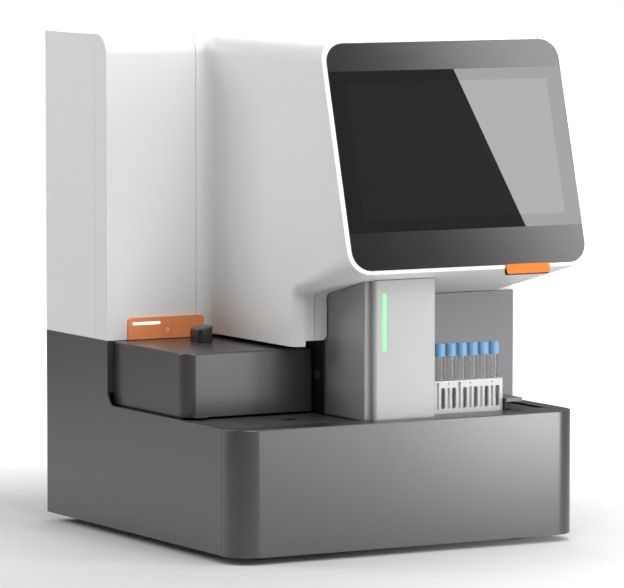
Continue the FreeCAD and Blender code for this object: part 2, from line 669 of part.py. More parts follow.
def pan_and_feet():
    inside = "panel_wall + seam"
    inner = f"base_corner - {inside}"
    front = f"base_front + {inside}"
    pan = solid("pan", "XY", "base_bottom", "base_bottom + pan_sheet", [
        (f"left_end + {inside}", "rear_skin"), (f"left_end + {inside}", front, inner),
        (f"right_end - ({inside})", front, inner), (f"right_end - ({inside})", "rear_skin")])
    holes = [(x, y, "foot_bolt_radius + running_clearance") for x, y in foot_places()]
    keep("base_pan", pocket(pan, "XY", "base_bottom", "base_bottom + pan_sheet", *holes))
    feet, bolts = [], []
    for number, (x, y) in enumerate(foot_places(), start=1):
        pad_shape = DOC.addObject("Part::Cone", f"foot_block_{number}")
        bind(pad_shape, "Radius1", "foot_radius")
        bind(pad_shape, "Radius2", "foot_top_radius")
        bind(pad_shape, "Height", "foot_height")
        place(pad_shape, x, y, "0")
        recess = rod(f"foot_recess_{number}", "foot_recess_radius", "foot_recess_depth", (x, y, "0"))
        bore = rod(f"foot_bore_{number}", "foot_bolt_radius + running_clearance", "foot_height",
                   (x, y, "0"))
        hollow = fuse(f"foot_hollow_{number}", [recess, bore])
        feet.append(cut(f"foot_{number}", pad_shape, hollow))
        head = rod(f"bolt_head_{number}", "foot_bolt_head", "foot_bolt_head_high",
                   (x, y, "foot_recess_depth - foot_bolt_head_high"))
        shank = rod(f"bolt_shank_{number}", "foot_bolt_radius",
                    "foot_height - foot_recess_depth + 2 * pan_sheet", (x, y, "foot_recess_depth"))
        bolts.append(fuse(f"foot_bolt_{number}", [head, shank]))
    keep("rubber_feet", group("feet", feet))
    keep("foot_bolts", group("bolts", bolts))


def reagent_chamber():
    left = "left_end + panel_wall + seam + clearance"
    front = "base_front + front_rim + clearance"
    back = "column_front - clearance"
    tray = solid("tray", "XY", "tray_bottom", "tray_top", [
        (left, back), (left, front, "tray_corner"), ("chamber_right - clearance", front),
        ("chamber_right - clearance", back)])
    catch_x = "left_end + catch_left"
    catch_y = "base_front + catch_setback"
    pocket(tray, "XY", "tray_bottom", "tray_top", rectangle(
        (f"{catch_x} - catch_width / 2", f"{catch_x} + catch_width / 2"),
        (f"{catch_y} - catch_depth / 2", f"{catch_y} + catch_depth / 2")))
    pocket(tray, "XY", "tray_bottom", "tray_top",
           ("left_end + drain_left", "base_front + drain_setback", "drain_radius"),
           ("drum_x", "drum_y", "shaft_radius + clearance"))
    keep("reagent_tray", tray)
    keep("chamber_side_wall", block("side_wall", (
        "chamber_right - side_wall_thick", "chamber_right"),
        ("base_front + side_wall_front", "column_front - clearance"),
        ("tray_top", "foot_height + side_wall_top")))
    keep("chamber_back_wall", block("back_wall", (
        "left_end + panel_return + clearance", "chamber_right"),
        ("column_front", "column_front + panel_wall"), ("tray_bottom", "shoulder")))
    rails = []
    for side, low in (("left", "left_end + hood_left + hood_wall + clearance"),
                      ("right", "left_end + hood_right - hood_wall - clearance - rail_width")):
        rails.append(block(f"{side}_rail", (low, f"{low} + rail_width"),
                           ("base_front + hood_setback + hood_round + clearance", "column_front - seam"),
                           ("tray_top", "tray_top + rail_height")))
    keep("hood_rails", group("rails", rails))


def hood():
    x0, x1 = "left_end + hood_left", "left_end + hood_right"
    front, back = "base_front + hood_setback", "column_front - seam"
    shell = solid("hood_shell", "XY", "hood_bottom", "hood_top", [
        (x0, back), (x0, front, "hood_round"), (x1, front, "hood_edge"), (x1, back)])
    inner = "hood_round - hood_wall"
    pocket(shell, "XY", "hood_bottom", "hood_top - hood_wall", [
        (f"{x0} + hood_wall", f"{back} + overrun"), (f"{x0} + hood_wall", f"{front} + hood_wall", inner),
        (f"{x1} - hood_wall", f"{front} + hood_wall"), (f"{x1} - hood_wall", f"{back} + overrun")])
    pocket(shell, "XY", "hood_bottom", "hood_top",
           ("knob_x", "knob_y", "spindle_radius + running_clearance"))
    pad(shell, "XY", "hood_bottom", "hood_bottom + tab_thick", rectangle(
        (f"{x0} + tab_left", f"{x0} + tab_left + tab_width"),
        (f"{front} - tab_reach", f"{front} + hood_wall")))
    back_y = value(back)

    def top_rim(a, b):
        level = close(a.z, "hood_top") and close(b.z, "hood_top")
        hole = max((point - FreeCAD.Vector(value("knob_x"), value("knob_y"), point.z)).Length
                   for point in (a, b)) < value("knob_width")
        return level and not hole and min(a.y, b.y) < back_y - TIP

    keep("reagent_hood", soften(shell, "hood_edge - running_clearance", top_rim))
    knob_z = ("hood_top + clearance", "hood_top + clearance + knob_height")
    knob_left, knob_right = "knob_x - knob_width / 2", "knob_x + knob_width / 2"
    grip = solid("grip", "XY", *knob_z, rectangle((knob_left, knob_right), (
        "knob_y - knob_depth / 2", "knob_y + knob_depth / 2"), "knob_round"))
    pocket(grip, "XZ", "knob_y - knob_depth", "knob_y + knob_depth", [
        (knob_left, f"{knob_z[1]} - knob_drop"), (knob_right, knob_z[1]),
        (knob_right, f"{knob_z[1]} + overrun"), (f"{knob_left} - overrun", f"{knob_z[1]} + overrun"),
        (f"{knob_left} - overrun", f"{knob_z[1]} - knob_drop")])
    low_top = value(f"{knob_z[1]} - 2 * knob_drop")
    keep("hood_knob", soften(grip, "knob_top_round", lambda a, b: min(a.z, b.z) > low_top))
    cam_top = "hood_top - hood_wall - cam_gap"
    bar = solid("cam", "XY", f"{cam_top} - cam_thick", cam_top, rectangle(
        ("knob_x - cam_width / 2", "knob_x + cam_width / 2"),
        ("knob_y - cam_length / 2", "knob_y + cam_length / 2"), "cam_width / 3"))
    pin = rod("spindle", "spindle_radius", "hood_wall + cam_gap + clearance",
              ("knob_x", "knob_y", cam_top))
    keep("knob_spindle_and_cam", fuse("spindle_cam", [bar, pin]))


def reagent_drum():
    drum_top = "drum_bottom + drum_height"
    drum = solid("drum", "XY", "drum_bottom", drum_top, ("drum_x", "drum_y", "drum_radius"))
    bay_y = ("drum_y - drum_radius + bay_inset", "drum_y - drum_radius + bay_inset + bay_long")
    bay_x = ("drum_x - bay_width / 2", "drum_x + bay_width / 2")
    tools = []
    cartridges = []
    centre = (value("drum_x"), value("drum_y"), 0)
    for number in range(int(value("drum_bays"))):
        angle = number * 360 / value("drum_bays")
        bay = block(f"drum_bay_{number}", bay_x, bay_y,
                    ("drum_bottom + bay_floor", f"{drum_top} + overrun"))
        box = block(f"cartridge_{number}", (f"{bay_x[0]} + clearance", f"{bay_x[1]} - clearance"),
                    (f"{bay_y[0]} + clearance", f"{bay_y[1]} - clearance"),
                    ("drum_bottom + bay_floor", f"{drum_top} + cartridge_proud"))
        DOC.recompute()
        for source, target in ((bay, tools), (box, cartridges)):
            turned = DOC.addObject("Part::Feature", f"{source.Name}_turned")
            shape = source.Shape.copy()
            shape.rotate(FreeCAD.Vector(*centre), FreeCAD.Vector(0, 0, 1), angle)
            turned.Shape = shape
            target.append(turned)
    hub = rod("drum_bore", "shaft_radius", "drum_height + 2 * overrun",
              ("drum_x", "drum_y", "drum_bottom - overrun"))
    keep("reagent_drum", cut("drum_cut", drum, fuse("drum_tools", tools + [hub])))
    keep("reagent_cartridges", group("cartridges", cartridges))
    low = "tray_bottom - motor_bore_deep"
    keep("drum_spindle", rod("drum_shaft", "shaft_radius", f"{drum_top} - ({low})",
                             ("drum_x", "drum_y", low)))
    motor = solid("motor", "XY", "tray_bottom - motor_long", "tray_bottom", rectangle(
        ("drum_x - motor_side / 2", "drum_x + motor_side / 2"),
        ("drum_y - motor_side / 2", "drum_y + motor_side / 2"), "motor_side / 10"))
    pocket(motor, "XY", low, "tray_bottom", ("drum_x", "drum_y", "shaft_radius + running_clearance"))
    keep("drum_motor", motor)


# Tower, bay and rack

def below_head(name):
    """The space under the head's sloping underside, less a gap."""
    back = "bay_back - clearance"
    return solid(name, "YZ", "tower_left - overrun", "tower_right + overrun", [
        ("head_front", "deck"), (back, "deck"), (back, f"{under(f'({back})')} - tower_gap_top"),
        ("head_front", "head_lip - tower_gap_top")])


def tower():
    back = "bay_back - clearance"
    shell = solid("tower_tube", "XY", "deck", "head_lip", [
        ("tower_left", back), ("tower_left", "tower_front", "tower_corner"),
        ("tower_right", "tower_front"), ("tower_right", back)])
    pocket(shell, "XY", "deck", "head_lip", [
        ("tower_left + tower_wall", f"{back} + overrun"),
        ("tower_left + tower_wall", "tower_front + tower_wall"),
        ("tower_right - tower_wall", "tower_front + tower_wall"),
        ("tower_right - tower_wall", f"{back} + overrun")])
    pocket(shell, "YZ", "tower_right - 2 * tower_wall", "tower_right",
           rectangle(("lane_front", "lane_rear"), ("deck - overrun", "foot_height + window_top")))
    keep("tower_shell", common("tower_cut", shell, below_head("tower_space")))
    cover = solid("face_cover", "XY", "deck", "head_lip", [
        ("cover_left", "tower_front - clearance"), ("cover_left", "tower_face", "tower_cover_round"),
        ("tower_right", "tower_face", "tower_cover_round"), ("tower_right", "tower_front - clearance")])
    pocket(cover, "XZ", "tower_face + tower_wall", "tower_front", rectangle(
        ("cover_left + tower_wall", "tower_right - tower_wall"),
        ("deck + tower_wall", f"{under('tower_front')} - 2 * tower_wall")))
    light_x = ("left_end + light_left", "left_end + light_left + light_width")
    light_z = ("foot_height + light_low", "foot_height + light_high")
    pocket(cover, "XZ", "tower_face - overrun", "tower_face + tower_wall",
           rectangle(light_x, light_z, "light_width / 2 - running_clearance"))
    keep("tower_front_cover", common("face_cut", cover, below_head("face_space")))
    inset = "running_clearance"
    keep("status_light", solid("light", "XZ", "tower_face", "tower_face + light_deep", rectangle(
        (f"{light_x[0]} + {inset}", f"{light_x[1]} - {inset}"),
        (f"{light_z[0]} + {inset}", f"{light_z[1]} - {inset}"), "light_width / 2 - 2 * running_clearance")))
    keep("light_board", block("board", (
        f"{light_x[0]} - board_margin", f"{light_x[1]} + board_margin"),
        ("tower_face + light_deep", "tower_face + light_deep + board_thick"),
        (f"{light_z[0]} - board_margin", f"{light_z[1]} + board_margin")))


def probe():
    """Two rods with a carriage that lowers the sampling needle over the rack lane."""
    rods_x = ("needle_x - rod_spread / 2", "needle_x + rod_spread / 2")
    low = "deck"
    high = f"({under('bay_back')} - rod_top_gap)"
    bars = [rod(f"guide_rod_{number}", "rod_radius", f"{high} - {low}", (x, "rod_y", low))
            for number, x in enumerate(rods_x, start=1)]
    keep("probe_rods", group("guide_rods", bars))
    plate_y = ("rod_y - plate_margin", "bay_back")
    plates = []
    for name, bottom in (("foot", "deck"), ("head", f"{high} - plate_thick")):
        plate = solid(f"rod_{name}_plate", "XY", bottom, f"{bottom} + plate_thick", rectangle(
            (f"{rods_x[0]} - plate_margin", f"{rods_x[1]} + plate_margin"), plate_y))
        plates.append(pocket(plate, "XY", bottom, f"{bottom} + plate_thick",
                             (rods_x[0], "rod_y", "rod_radius"), (rods_x[1], "rod_y", "rod_radius")))
    keep("probe_brackets", group("rod_plates", plates))
    arm_low = "(needle_z + needle_long - arm_height)"
    carriage = solid("slider", "XY", arm_low, f"{arm_low} + carriage_height", rectangle(
        ("needle_x - carriage_width / 2", "needle_x + carriage_width / 2"),
        ("rod_y - carriage_depth / 2", "rod_y + carriage_depth / 2")))
    pad(carriage, "XY", arm_low, f"{arm_low} + arm_height", rectangle(
        ("needle_x - arm_width / 2", "needle_x + arm_width / 2"),
        ("rack_y - arm_width / 2", "rod_y")))
    pocket(carriage, "XY", arm_low, f"{arm_low} + carriage_height",
           (rods_x[0], "rod_y", "rod_radius + running_clearance"),
           (rods_x[1], "rod_y", "rod_radius + running_clearance"))
    pocket(carriage, "XY", arm_low, f"{arm_low} + arm_height", ("needle_x", "rack_y", "needle_radius"))
    keep("probe_carriage", carriage)
    keep("probe_needle", rod("needle", "needle_radius", "needle_long", ("needle_x", "rack_y", "needle_z")))


def bay():
    top = f"{under('(bay_back + bay_panel)')} - clearance"
    panel = solid("back_panel", "XZ", "bay_back", "bay_back + bay_panel", rectangle(
        ("tower_left", "right_end"), ("deck - deck_sheet", top)))
    keep("bay_back_panel", pocket(panel, "XZ", "bay_back", "bay_back + bay_panel", rectangle(
        ("pusher_x - pusher_travel - slot_gap", "pusher_x + pusher_width + slot_gap"),
        ("pusher_z - slot_gap", "pusher_z + pusher_height + slot_gap"))))
    well_x = ("tower_left + well_left_margin + clearance", "right_end - well_side - clearance")
    well_y = ("base_front + well_front + clearance", "bay_back - well_rear_margin - clearance")
    floor = "foot_height + well_floor"
    well = solid("well", "XY", f"{floor} - well_sheet", "deck", rectangle(well_x, well_y))
    inside_y = (f"{well_y[0]} + well_sheet", f"{well_y[1]} - well_sheet")
    ledge = f"{well_x[1]} - ledge_width"
    pocket(well, "XY", floor, "deck", rectangle((f"{well_x[0]} + well_sheet", ledge), inside_y))
    keep("rack_tray", pocket(well, "XY", "deck - ledge_drop", "deck",
                             rectangle((ledge, f"{well_x[1]} - well_sheet"), inside_y)))


def tube_places():
    return [f"(rack_left + tube_first + {number} * tube_pitch)"
            for number in range(int(value("tube_count")))]


def rack():
    front, back = "base_front + rack_front", "base_front + rack_front + rack_depth"
    top = "foot_height + rack_top"
    frame = solid("rack_body", "XY", "rack_base", top,
                  rectangle(("rack_left", "rack_right"), (front, back)))
    bores = [(x, "rack_y", "tube_radius + tube_clearance") for x in tube_places()]
    pocket(frame, "XY", "rack_base + rack_floor", top, *bores)
    slots_z = ("rack_base + slot_low", "rack_base + slot_high")
    wide = [rectangle((f"{x} - wide_slot / 2", f"{x} + wide_slot / 2"), slots_z,
                      "wide_slot / 2 - running_clearance") for x in tube_places()]
    pocket(frame, "XZ", f"{front} - overrun", f"{back} + overrun", *wide)
    narrow, marks = [], []
    for number, x in enumerate(tube_places()[:-1]):
        middle = f"({x} + tube_pitch / 2)"
        top_z = "rack_base + slot_tall" if number in TALL_SLOTS else slots_z[1]
        narrow.append(rectangle((f"{middle} - narrow_slot / 2", f"{middle} + narrow_slot / 2"),
                                (slots_z[0], top_z)))
        if number % 2:
            marks.append((middle, f"{top} - mark_drop", "mark_radius"))
    pocket(frame, "XZ", f"{front} - overrun", f"{front} + narrow_deep", *narrow)
    keep("sample_rack", pocket(frame, "XZ", f"{front} - overrun", f"{front} + mark_deep", *marks))


def tubes_and_caps():
    tubes, caps = [], []
    for number, x in enumerate(tube_places()):
        outside = rod(f"tube_side_{number}", "tube_radius", "tube_long - tube_radius",
                      (x, "rack_y", "tube_bottom + tube_radius"))
        ball = DOC.addObject("Part::Sphere", f"tube_end_{number}")
        bind(ball, "Radius", "tube_radius")
        place(ball, x, "rack_y", "tube_bottom + tube_radius")
        inside = rod(f"tube_hollow_{number}", "tube_radius - tube_wall", "tube_long",
                     (x, "rack_y", "tube_bottom + tube_radius"))
        tubes.append(cut(f"tube_{number}", fuse(f"tube_outer_{number}", [outside, ball]), inside))
        cap = rod(f"cap_outer_{number}", "cap_radius", "cap_height", (x, "rack_y", "tube_top - cap_overlap"))
        socket = rod(f"cap_socket_{number}", "tube_radius + running_clearance", "cap_overlap",
                     (x, "rack_y", "tube_top - cap_overlap"))
        caps.append(cut(f"cap_{number}", cap, socket))
    keep("sample_tubes", group("tubes", tubes))
    keep("tube_caps", group("caps", caps))


def pusher():
    """An arm that reaches through the back wall, a finger at the rack and a guide behind the wall."""
    front, wall_back = "base_front + pusher_setback", "bay_back + bay_panel"
    arm_x = ("pusher_x", "pusher_x + pusher_width")
    lip_y = f"{wall_back} + guide_side + running_clearance"
    arm = solid("pusher_arm", "XY", "pusher_z", "pusher_z + pusher_height",
                rectangle(arm_x, (front, f"{lip_y} + lip_thick")))
    pad(arm, "XY", "pusher_z - guide_side", "pusher_z", rectangle(arm_x, (lip_y, f"{lip_y} + lip_thick")))
    keep("rack_pusher", arm)
    keep("pusher_finger", block("finger", ("rack_right + clearance", "pusher_x"),
                                (front, f"{front} + finger_depth"),
                                ("foot_height + well_floor + finger_lift", "pusher_z + pusher_height")))
    keep("pusher_rail", block("guide", ("pusher_x - pusher_travel - guide_margin",
                                        "pusher_x + pusher_width + guide_margin"),
                              (wall_back, f"{wall_back} + guide_side"),
                              ("pusher_z - guide_side", "pusher_z - running_clearance")))


# Inner frame and modules

def inner_frame():
    right = "right_end - panel_wall - post_inset - post_side"
    rear_top = "roof - wall - top_round"
    corners = {"right_front_post": (right, "base_front + post_front", "shelf_top - shelf_sheet"),
               "right_rear_post": (right, "post_back", rear_top),
               "left_rear_post": ("left_end + panel_wall + post_inset", "post_back", rear_top)}
    posts = []
    for name, (x, y, top) in corners.items():
        low = "base_bottom + pan_sheet"
        tube = solid(name, "XY", low, top, rectangle((x, f"{x} + post_side"), (y, f"{y} + post_side")))
        posts.append(pocket(tube, "XY", low, top, rectangle(
            (f"{x} + pan_sheet", f"{x} + post_side - pan_sheet"),
            (f"{y} + pan_sheet", f"{y} + post_side - pan_sheet"))))
    keep("frame_posts", group("posts", posts))
    shelf_x = ("chamber_right + clearance + wall", "right_end - panel_wall - seam")
    shelf = block("shelf", shelf_x, ("bay_back + bay_panel + seam + wall + seam", "post_back - seam"),
                  ("shelf_top - shelf_sheet", "shelf_top"))
    keep("frame_shelf", shelf)


def modules():
    disc = rod("incubator", "incubator_radius", "incubator_height",
               ("incubator_x", "incubator_y", "shelf_top"))
    keep("incubator_block", disc)
    head_low = "shelf_top + incubator_height"
    keep("photometer_head", block("photometer", (
        "incubator_x - head_block_wide / 2", "incubator_x + head_block_wide / 2"),
        ("incubator_y - head_block_deep / 2", "incubator_y + head_block_deep / 2"),
        (head_low, f"{head_low} + head_block_high")))
    supply_x = ("right_end - supply_right - supply_wide", "right_end - supply_right")
    supply_low = "base_bottom + pan_sheet"
    keep("power_supply", block("supply", supply_x, (
        "base_front + supply_setback", "base_front + supply_setback + supply_deep"),
        (supply_low, f"{supply_low} + supply_high")))
    board_x = ("right_end - board_right - board_wide", "right_end - board_right")
    board_y = ("rear_inner - board_standoff - board_thick", "rear_inner - board_standoff")
    board_z = ("foot_height + board_low", "foot_height + board_low + board_high")
    sheet = block("board_sheet", board_x, board_y, board_z)
    posts = []
    for x in (f"{board_x[0]} + plate_margin", f"{board_x[1]} - plate_margin"):
        for z in (f"{board_z[0]} + plate_margin", f"{board_z[1]} - plate_margin"):
            posts.append(rod(f"standoff_{len(posts)}", "rod_radius", "board_standoff",
                             (x, board_y[1], z), "y"))
    keep("main_board", fuse("board_and_posts", [sheet] + posts))


# Rear

def screw_places():
    places = []
    span = "(roof - base_bottom - top_round - 2 * screw_inset)"
    steps = int(value("screw_rows"))
    for x in ("left_end + panel_wall + screw_inset", "right_end - panel_wall - screw_inset"):
        for number in range(steps):
            places.append((x, f"base_bottom + screw_inset + {number} / {steps - 1} * {span}"))
    return places


def rear_panel():
    left, right = "left_end + panel_wall + seam", "right_end - panel_wall - seam"
    top = "roof - wall - seam"
    plate = solid("rear_plate", "XZ", "rear_inner", "rear_skin", [
        (left, "base_bottom + pan_sheet"), (right, "base_bottom + pan_sheet"),
        (right, top, "top_round"), (left, top)])
    inlet_x = ("inlet_x - inlet_wide / 2", "inlet_x + inlet_wide / 2")
    inlet_z = ("inlet_z - inlet_high / 2", "inlet_z + inlet_high / 2")
    gap = "clearance"
    openings = [rectangle((f"{inlet_x[0]} - {gap}", f"{inlet_x[1]} + {gap}"),
                          (f"{inlet_z[0]} - {gap}", f"{inlet_z[1]} + {gap}"))]
    reach = "rocker_wide / 2 + bezel_wall + clearance"
    tall = "rocker_high / 2 + bezel_wall + clearance"
    openings.append(rectangle((f"switch_x - ({reach})", f"switch_x + {reach}"),
                              (f"inlet_z - ({tall})", f"inlet_z + {tall}")))
    openings.append(rectangle(("ports_x - clearance", "ports_x + ports_wide + clearance"),
                              ("ports_z - clearance", "ports_z + ports_high + clearance")))
    for number in range(int(value("grille_bars"))):
        middle = f"(fan_z + ({number} - (grille_bars - 1) / 2) * grille_pitch)"
        openings.append(rectangle(("fan_x - fan_bore", "fan_x + fan_bore"),
                                  (f"{middle} - grille_slot / 2", f"{middle} + grille_slot / 2"),
                                  "grille_slot / 3"))
    holes = [(x, z, "screw_shank + running_clearance") for x, z in screw_places()]
    keep("rear_panel", pocket(plate, "XZ", "rear_inner", "rear_skin", *openings, *holes))
    screws = []
    for number, (x, z) in enumerate(screw_places()):
        head = rod(f"rear_screw_head_{number}", "screw_radius", "screw_high", (x, "rear_skin", z), "y")
        shank = rod(f"rear_screw_shank_{number}", "screw_shank", "screw_long",
                    (x, "rear_skin - screw_long", z), "y")
        screws.append(fuse(f"rear_screw_{number}", [head, shank]))
    keep("rear_screws", group("screws", screws))


def fan():
    front, back = "rear_inner - fan_thick", "rear_inner"
    half = "fan_side / 2"
    ring = solid("fan_ring", "XZ", front, back, rectangle(
        (f"fan_x - {half}", f"fan_x + {half}"), (f"fan_z - {half}", f"fan_z + {half}"), "fan_side / 20"))
    pocket(ring, "XZ", front, back, ("fan_x", "fan_z", "fan_bore"))
    reach = "(fan_bore + strut_thick)"
    bar_high = solid("fan_strut_a", "XZ", front, f"{front} + strut_thick", rectangle(
        ("fan_x - strut_width / 2", "fan_x + strut_width / 2"),
        (f"fan_z - {reach}", f"fan_z + {reach}")))
    bar_wide = solid("fan_strut_b", "XZ", front, f"{front} + strut_thick", rectangle(
        (f"fan_x - {reach}", f"fan_x + {reach}"),
        ("fan_z - strut_width / 2", "fan_z + strut_width / 2")))
    axle = rod("fan_axle", "axle_radius", "fan_thick / 2 + strut_thick", ("fan_x", front, "fan_z"), "y")
    keep("fan_frame", fuse("fan_frame_whole", [ring, bar_high, bar_wide, axle]))
    rotor_front = f"{front} + 2 * strut_thick"
    depth = "fan_thick - 3 * strut_thick"
    hub = rod("fan_hub_disc", "fan_hub", depth, ("fan_x", rotor_front, "fan_z"), "y")
    DOC.recompute()
    blades = [hub]
    middle = FreeCAD.Vector(value("fan_x"), value(f"{rotor_front} + ({depth}) / 2"), value("fan_z"))
    for number in range(int(value("fan_blades"))):
        size = FreeCAD.Vector(value("fan_blade - fan_hub / 2"), value("blade_thick"), value("fan_hub"))
        start = FreeCAD.Vector(value("fan_hub / 2"), -size.y / 2, -size.z / 2)
        blade = Part.makeBox(size.x, size.y, size.z, start)
        blade.rotate(FreeCAD.Vector(), FreeCAD.Vector(1, 0, 0), value("blade_pitch"))
        blade.rotate(FreeCAD.Vector(), FreeCAD.Vector(0, 1, 0), number * 360 / value("fan_blades"))
        blade.translate(middle)
        feature = DOC.addObject("Part::Feature", f"fan_blade_{number}")
        feature.Shape = blade
        blades.append(feature)
    bore = rod("fan_rotor_bore", "axle_radius + running_clearance", "fan_thick",
               ("fan_x", front, "fan_z"), "y")
    keep("fan_rotor", cut("rotor_bored", fuse("rotor", blades), bore))


def power_entry():
    inlet_x = ("inlet_x - inlet_wide / 2", "inlet_x + inlet_wide / 2")
    inlet_z = ("inlet_z - inlet_high / 2", "inlet_z + inlet_high / 2")
    outer = "rear_skin + inlet_flange_thick"
    socket = solid("socket", "XZ", "rear_skin - inlet_deep", "rear_skin",
                   rectangle(inlet_x, inlet_z, "edge_round"))
    pad(socket, "XZ", "rear_skin", outer, rectangle(
        (f"{inlet_x[0]} - inlet_flange", f"{inlet_x[1]} + inlet_flange"),
        (f"{inlet_z[0]} - inlet_flange / 2", f"{inlet_z[1]} + inlet_flange / 2"), "edge_round"))
    rim = "bezel_wall"
    pocket(socket, "XZ", "rear_skin - inlet_deep + panel_wall / 2", outer, rectangle(
        (f"{inlet_x[0]} + {rim} + inlet_wide / 4", f"{inlet_x[1]} - {rim}"),
        (f"{inlet_z[0]} + {rim}", f"{inlet_z[1]} - {rim}"), "edge_round"))
    centre = "(inlet_x + inlet_wide / 8)"
    pins = [block(f"inlet_pin_{number}", (
        f"{centre} + {number} * pin_pitch - pin_wide / 2",
        f"{centre} + {number} * pin_pitch + pin_wide / 2"),
        ("rear_skin - inlet_deep", "rear_skin - clearance"),
        ("inlet_z - pin_high / 2", "inlet_z + pin_high / 2")) for number in (-1, 0, 1)]
    keep("power_inlet", fuse("inlet_whole", [socket] + pins))
    half_x, half_z = "rocker_wide / 2", "rocker_high / 2"
    bezel = solid("switch_bezel", "XZ", "rear_skin - bezel_deep", outer, rectangle(
        (f"switch_x - ({half_x} + bezel_wall)", f"switch_x + {half_x} + bezel_wall"),
        (f"inlet_z - ({half_z} + bezel_wall)", f"inlet_z + {half_z} + bezel_wall"), "edge_round"))
    pocket(bezel, "XZ", "rear_skin - bezel_deep + panel_wall / 2", outer, rectangle(
        (f"switch_x - {half_x}", f"switch_x + {half_x}"), (f"inlet_z - {half_z}", f"inlet_z + {half_z}")))
    keep("switch_housing", bezel)
    wheel = rod("rocker_round", f"{half_z} - 2 * clearance", "rocker_wide - 2 * clearance",
                (f"clearance - {half_x}", "0", "0"), "x")
    slab = block("rocker_slab", (f"-{half_x}", half_x), (f"-{half_z}", "-rocker_sunk"),
                 (f"-{half_z}", half_z))
    rocker = turn(common("rocker", wheel, slab), FreeCAD.Vector(1, 0, 0), "rocker_tilt")
    keep("power_switch", place(rocker, "switch_x", f"{outer} + clearance + rocker_sunk", "inlet_z"))


def data_ports():
    far = "ports_x + ports_wide"
    plate = solid("ports", "XZ", "rear_skin - ports_deep", "rear_skin + inlet_flange_thick / 2", rectangle(
        ("ports_x", far), ("ports_z", "ports_z + ports_high"), "edge_round"))
    first = "(ports_x + (ports_wide - (port_count - 1) * port_pitch) / 2)"
    middle = "(ports_z + ports_high / 2)"
    holes = [rectangle((f"{first} + {number} * port_pitch - port_wide / 2",
                        f"{first} + {number} * port_pitch + port_wide / 2"),
                       (f"{middle} - port_high / 2", f"{middle} + port_high / 2"))
             for number in range(int(value("port_count")))]
    keep("data_ports", pocket(plate, "XZ", "rear_skin + inlet_flange_thick / 2 - port_hollow",
                              "rear_skin + inlet_flange_thick / 2", *holes))


def export():
    """Checks every object, then writes each sub-part to its own file."""
    DOC.recompute()
    for item in DOC.Objects:
        if "Invalid" in item.State or "Error" in item.State:
            raise SystemExit(f"{item.Name} failed: {item.State}")
    os.makedirs("parts", exist_ok=True)
    for item in PIECES:
        if item.Shape.isNull() or not item.Shape.isValid() or not item.Shape.Solids:
            raise SystemExit(f"{item.Label} has no valid shape")
        item.Shape.exportStep(f"parts/{item.Label}.step")
        print(item.Label, len(item.Shape.Solids), round(item.Shape.Volume))


fill_sheet()
for make in (housing_covers, screen, orange_trim, front_cover, side_panels, pan_and_feet,
             reagent_chamber, hood, reagent_drum, tower, probe, bay, rack, tubes_and_caps, pusher,
             inner_frame, modules, rear_panel, fan, power_entry, data_ports):
    make()
export()
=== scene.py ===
import json
import math

import bmesh
import bpy
from mathutils import Matrix, Vector

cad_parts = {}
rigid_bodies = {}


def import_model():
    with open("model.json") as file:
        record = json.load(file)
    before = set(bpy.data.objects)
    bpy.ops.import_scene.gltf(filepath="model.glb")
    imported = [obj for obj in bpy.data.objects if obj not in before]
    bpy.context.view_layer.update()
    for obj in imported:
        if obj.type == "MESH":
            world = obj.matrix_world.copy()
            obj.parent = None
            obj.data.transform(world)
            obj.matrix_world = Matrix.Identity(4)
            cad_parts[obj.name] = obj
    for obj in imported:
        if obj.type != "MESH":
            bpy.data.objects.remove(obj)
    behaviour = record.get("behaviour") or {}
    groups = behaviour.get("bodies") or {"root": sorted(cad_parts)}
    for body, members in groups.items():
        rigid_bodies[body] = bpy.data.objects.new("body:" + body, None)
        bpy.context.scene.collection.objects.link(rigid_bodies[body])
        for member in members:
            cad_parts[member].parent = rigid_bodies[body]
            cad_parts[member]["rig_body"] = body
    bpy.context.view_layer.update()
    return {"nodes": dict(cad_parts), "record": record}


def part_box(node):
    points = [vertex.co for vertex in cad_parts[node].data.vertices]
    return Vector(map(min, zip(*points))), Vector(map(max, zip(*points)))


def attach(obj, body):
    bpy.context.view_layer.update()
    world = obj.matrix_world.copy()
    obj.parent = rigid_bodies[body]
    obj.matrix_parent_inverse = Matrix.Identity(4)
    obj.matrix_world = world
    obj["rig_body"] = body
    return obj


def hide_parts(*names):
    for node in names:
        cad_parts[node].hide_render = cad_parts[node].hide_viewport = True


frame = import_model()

# A benchtop chemistry analyzer: satin white housing with a leaning touch screen, charcoal base,
# sliding reagent hood, and a rack of capped sample tubes in an open bay. Sizes are in millimetres.

MM = 0.001


def mm(*sizes):
    """Millimetres as a vector in metres."""
    return Vector(sizes) * MM


# Places, most of them read from the frame

SCREEN_TILT = math.radians(15.27)
GLASS_LOW, GLASS_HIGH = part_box("touch_glass")
SCREEN_ORIGIN = Vector((0, GLASS_LOW.y + 2 * MM, 455 * MM))
SCREEN_UP = Vector((0, math.sin(SCREEN_TILT), math.cos(SCREEN_TILT)))
SCREEN_OUT = Vector((0, -math.cos(SCREEN_TILT), math.sin(SCREEN_TILT)))
# Up the glass from the lip's lower edge: the printed bands end at the first pair, the display at the
# second. Across it the display lies between the third.
CLEAR_HEIGHTS = (67, 330)
DISPLAY_HEIGHTS = (87.3, 311)
DISPLAY_SIDES = (-93, 283)


# Materials

def linear(code):
    """An sRGB hex colour as linear red, green, blue and alpha."""
    channels = [int(code[start:start + 2], 16) / 255 for start in (1, 3, 5)]
    return [part / 12.92 if part <= 0.04045 else ((part + 0.055) / 1.055) ** 2.4
            for part in channels] + [1.0]


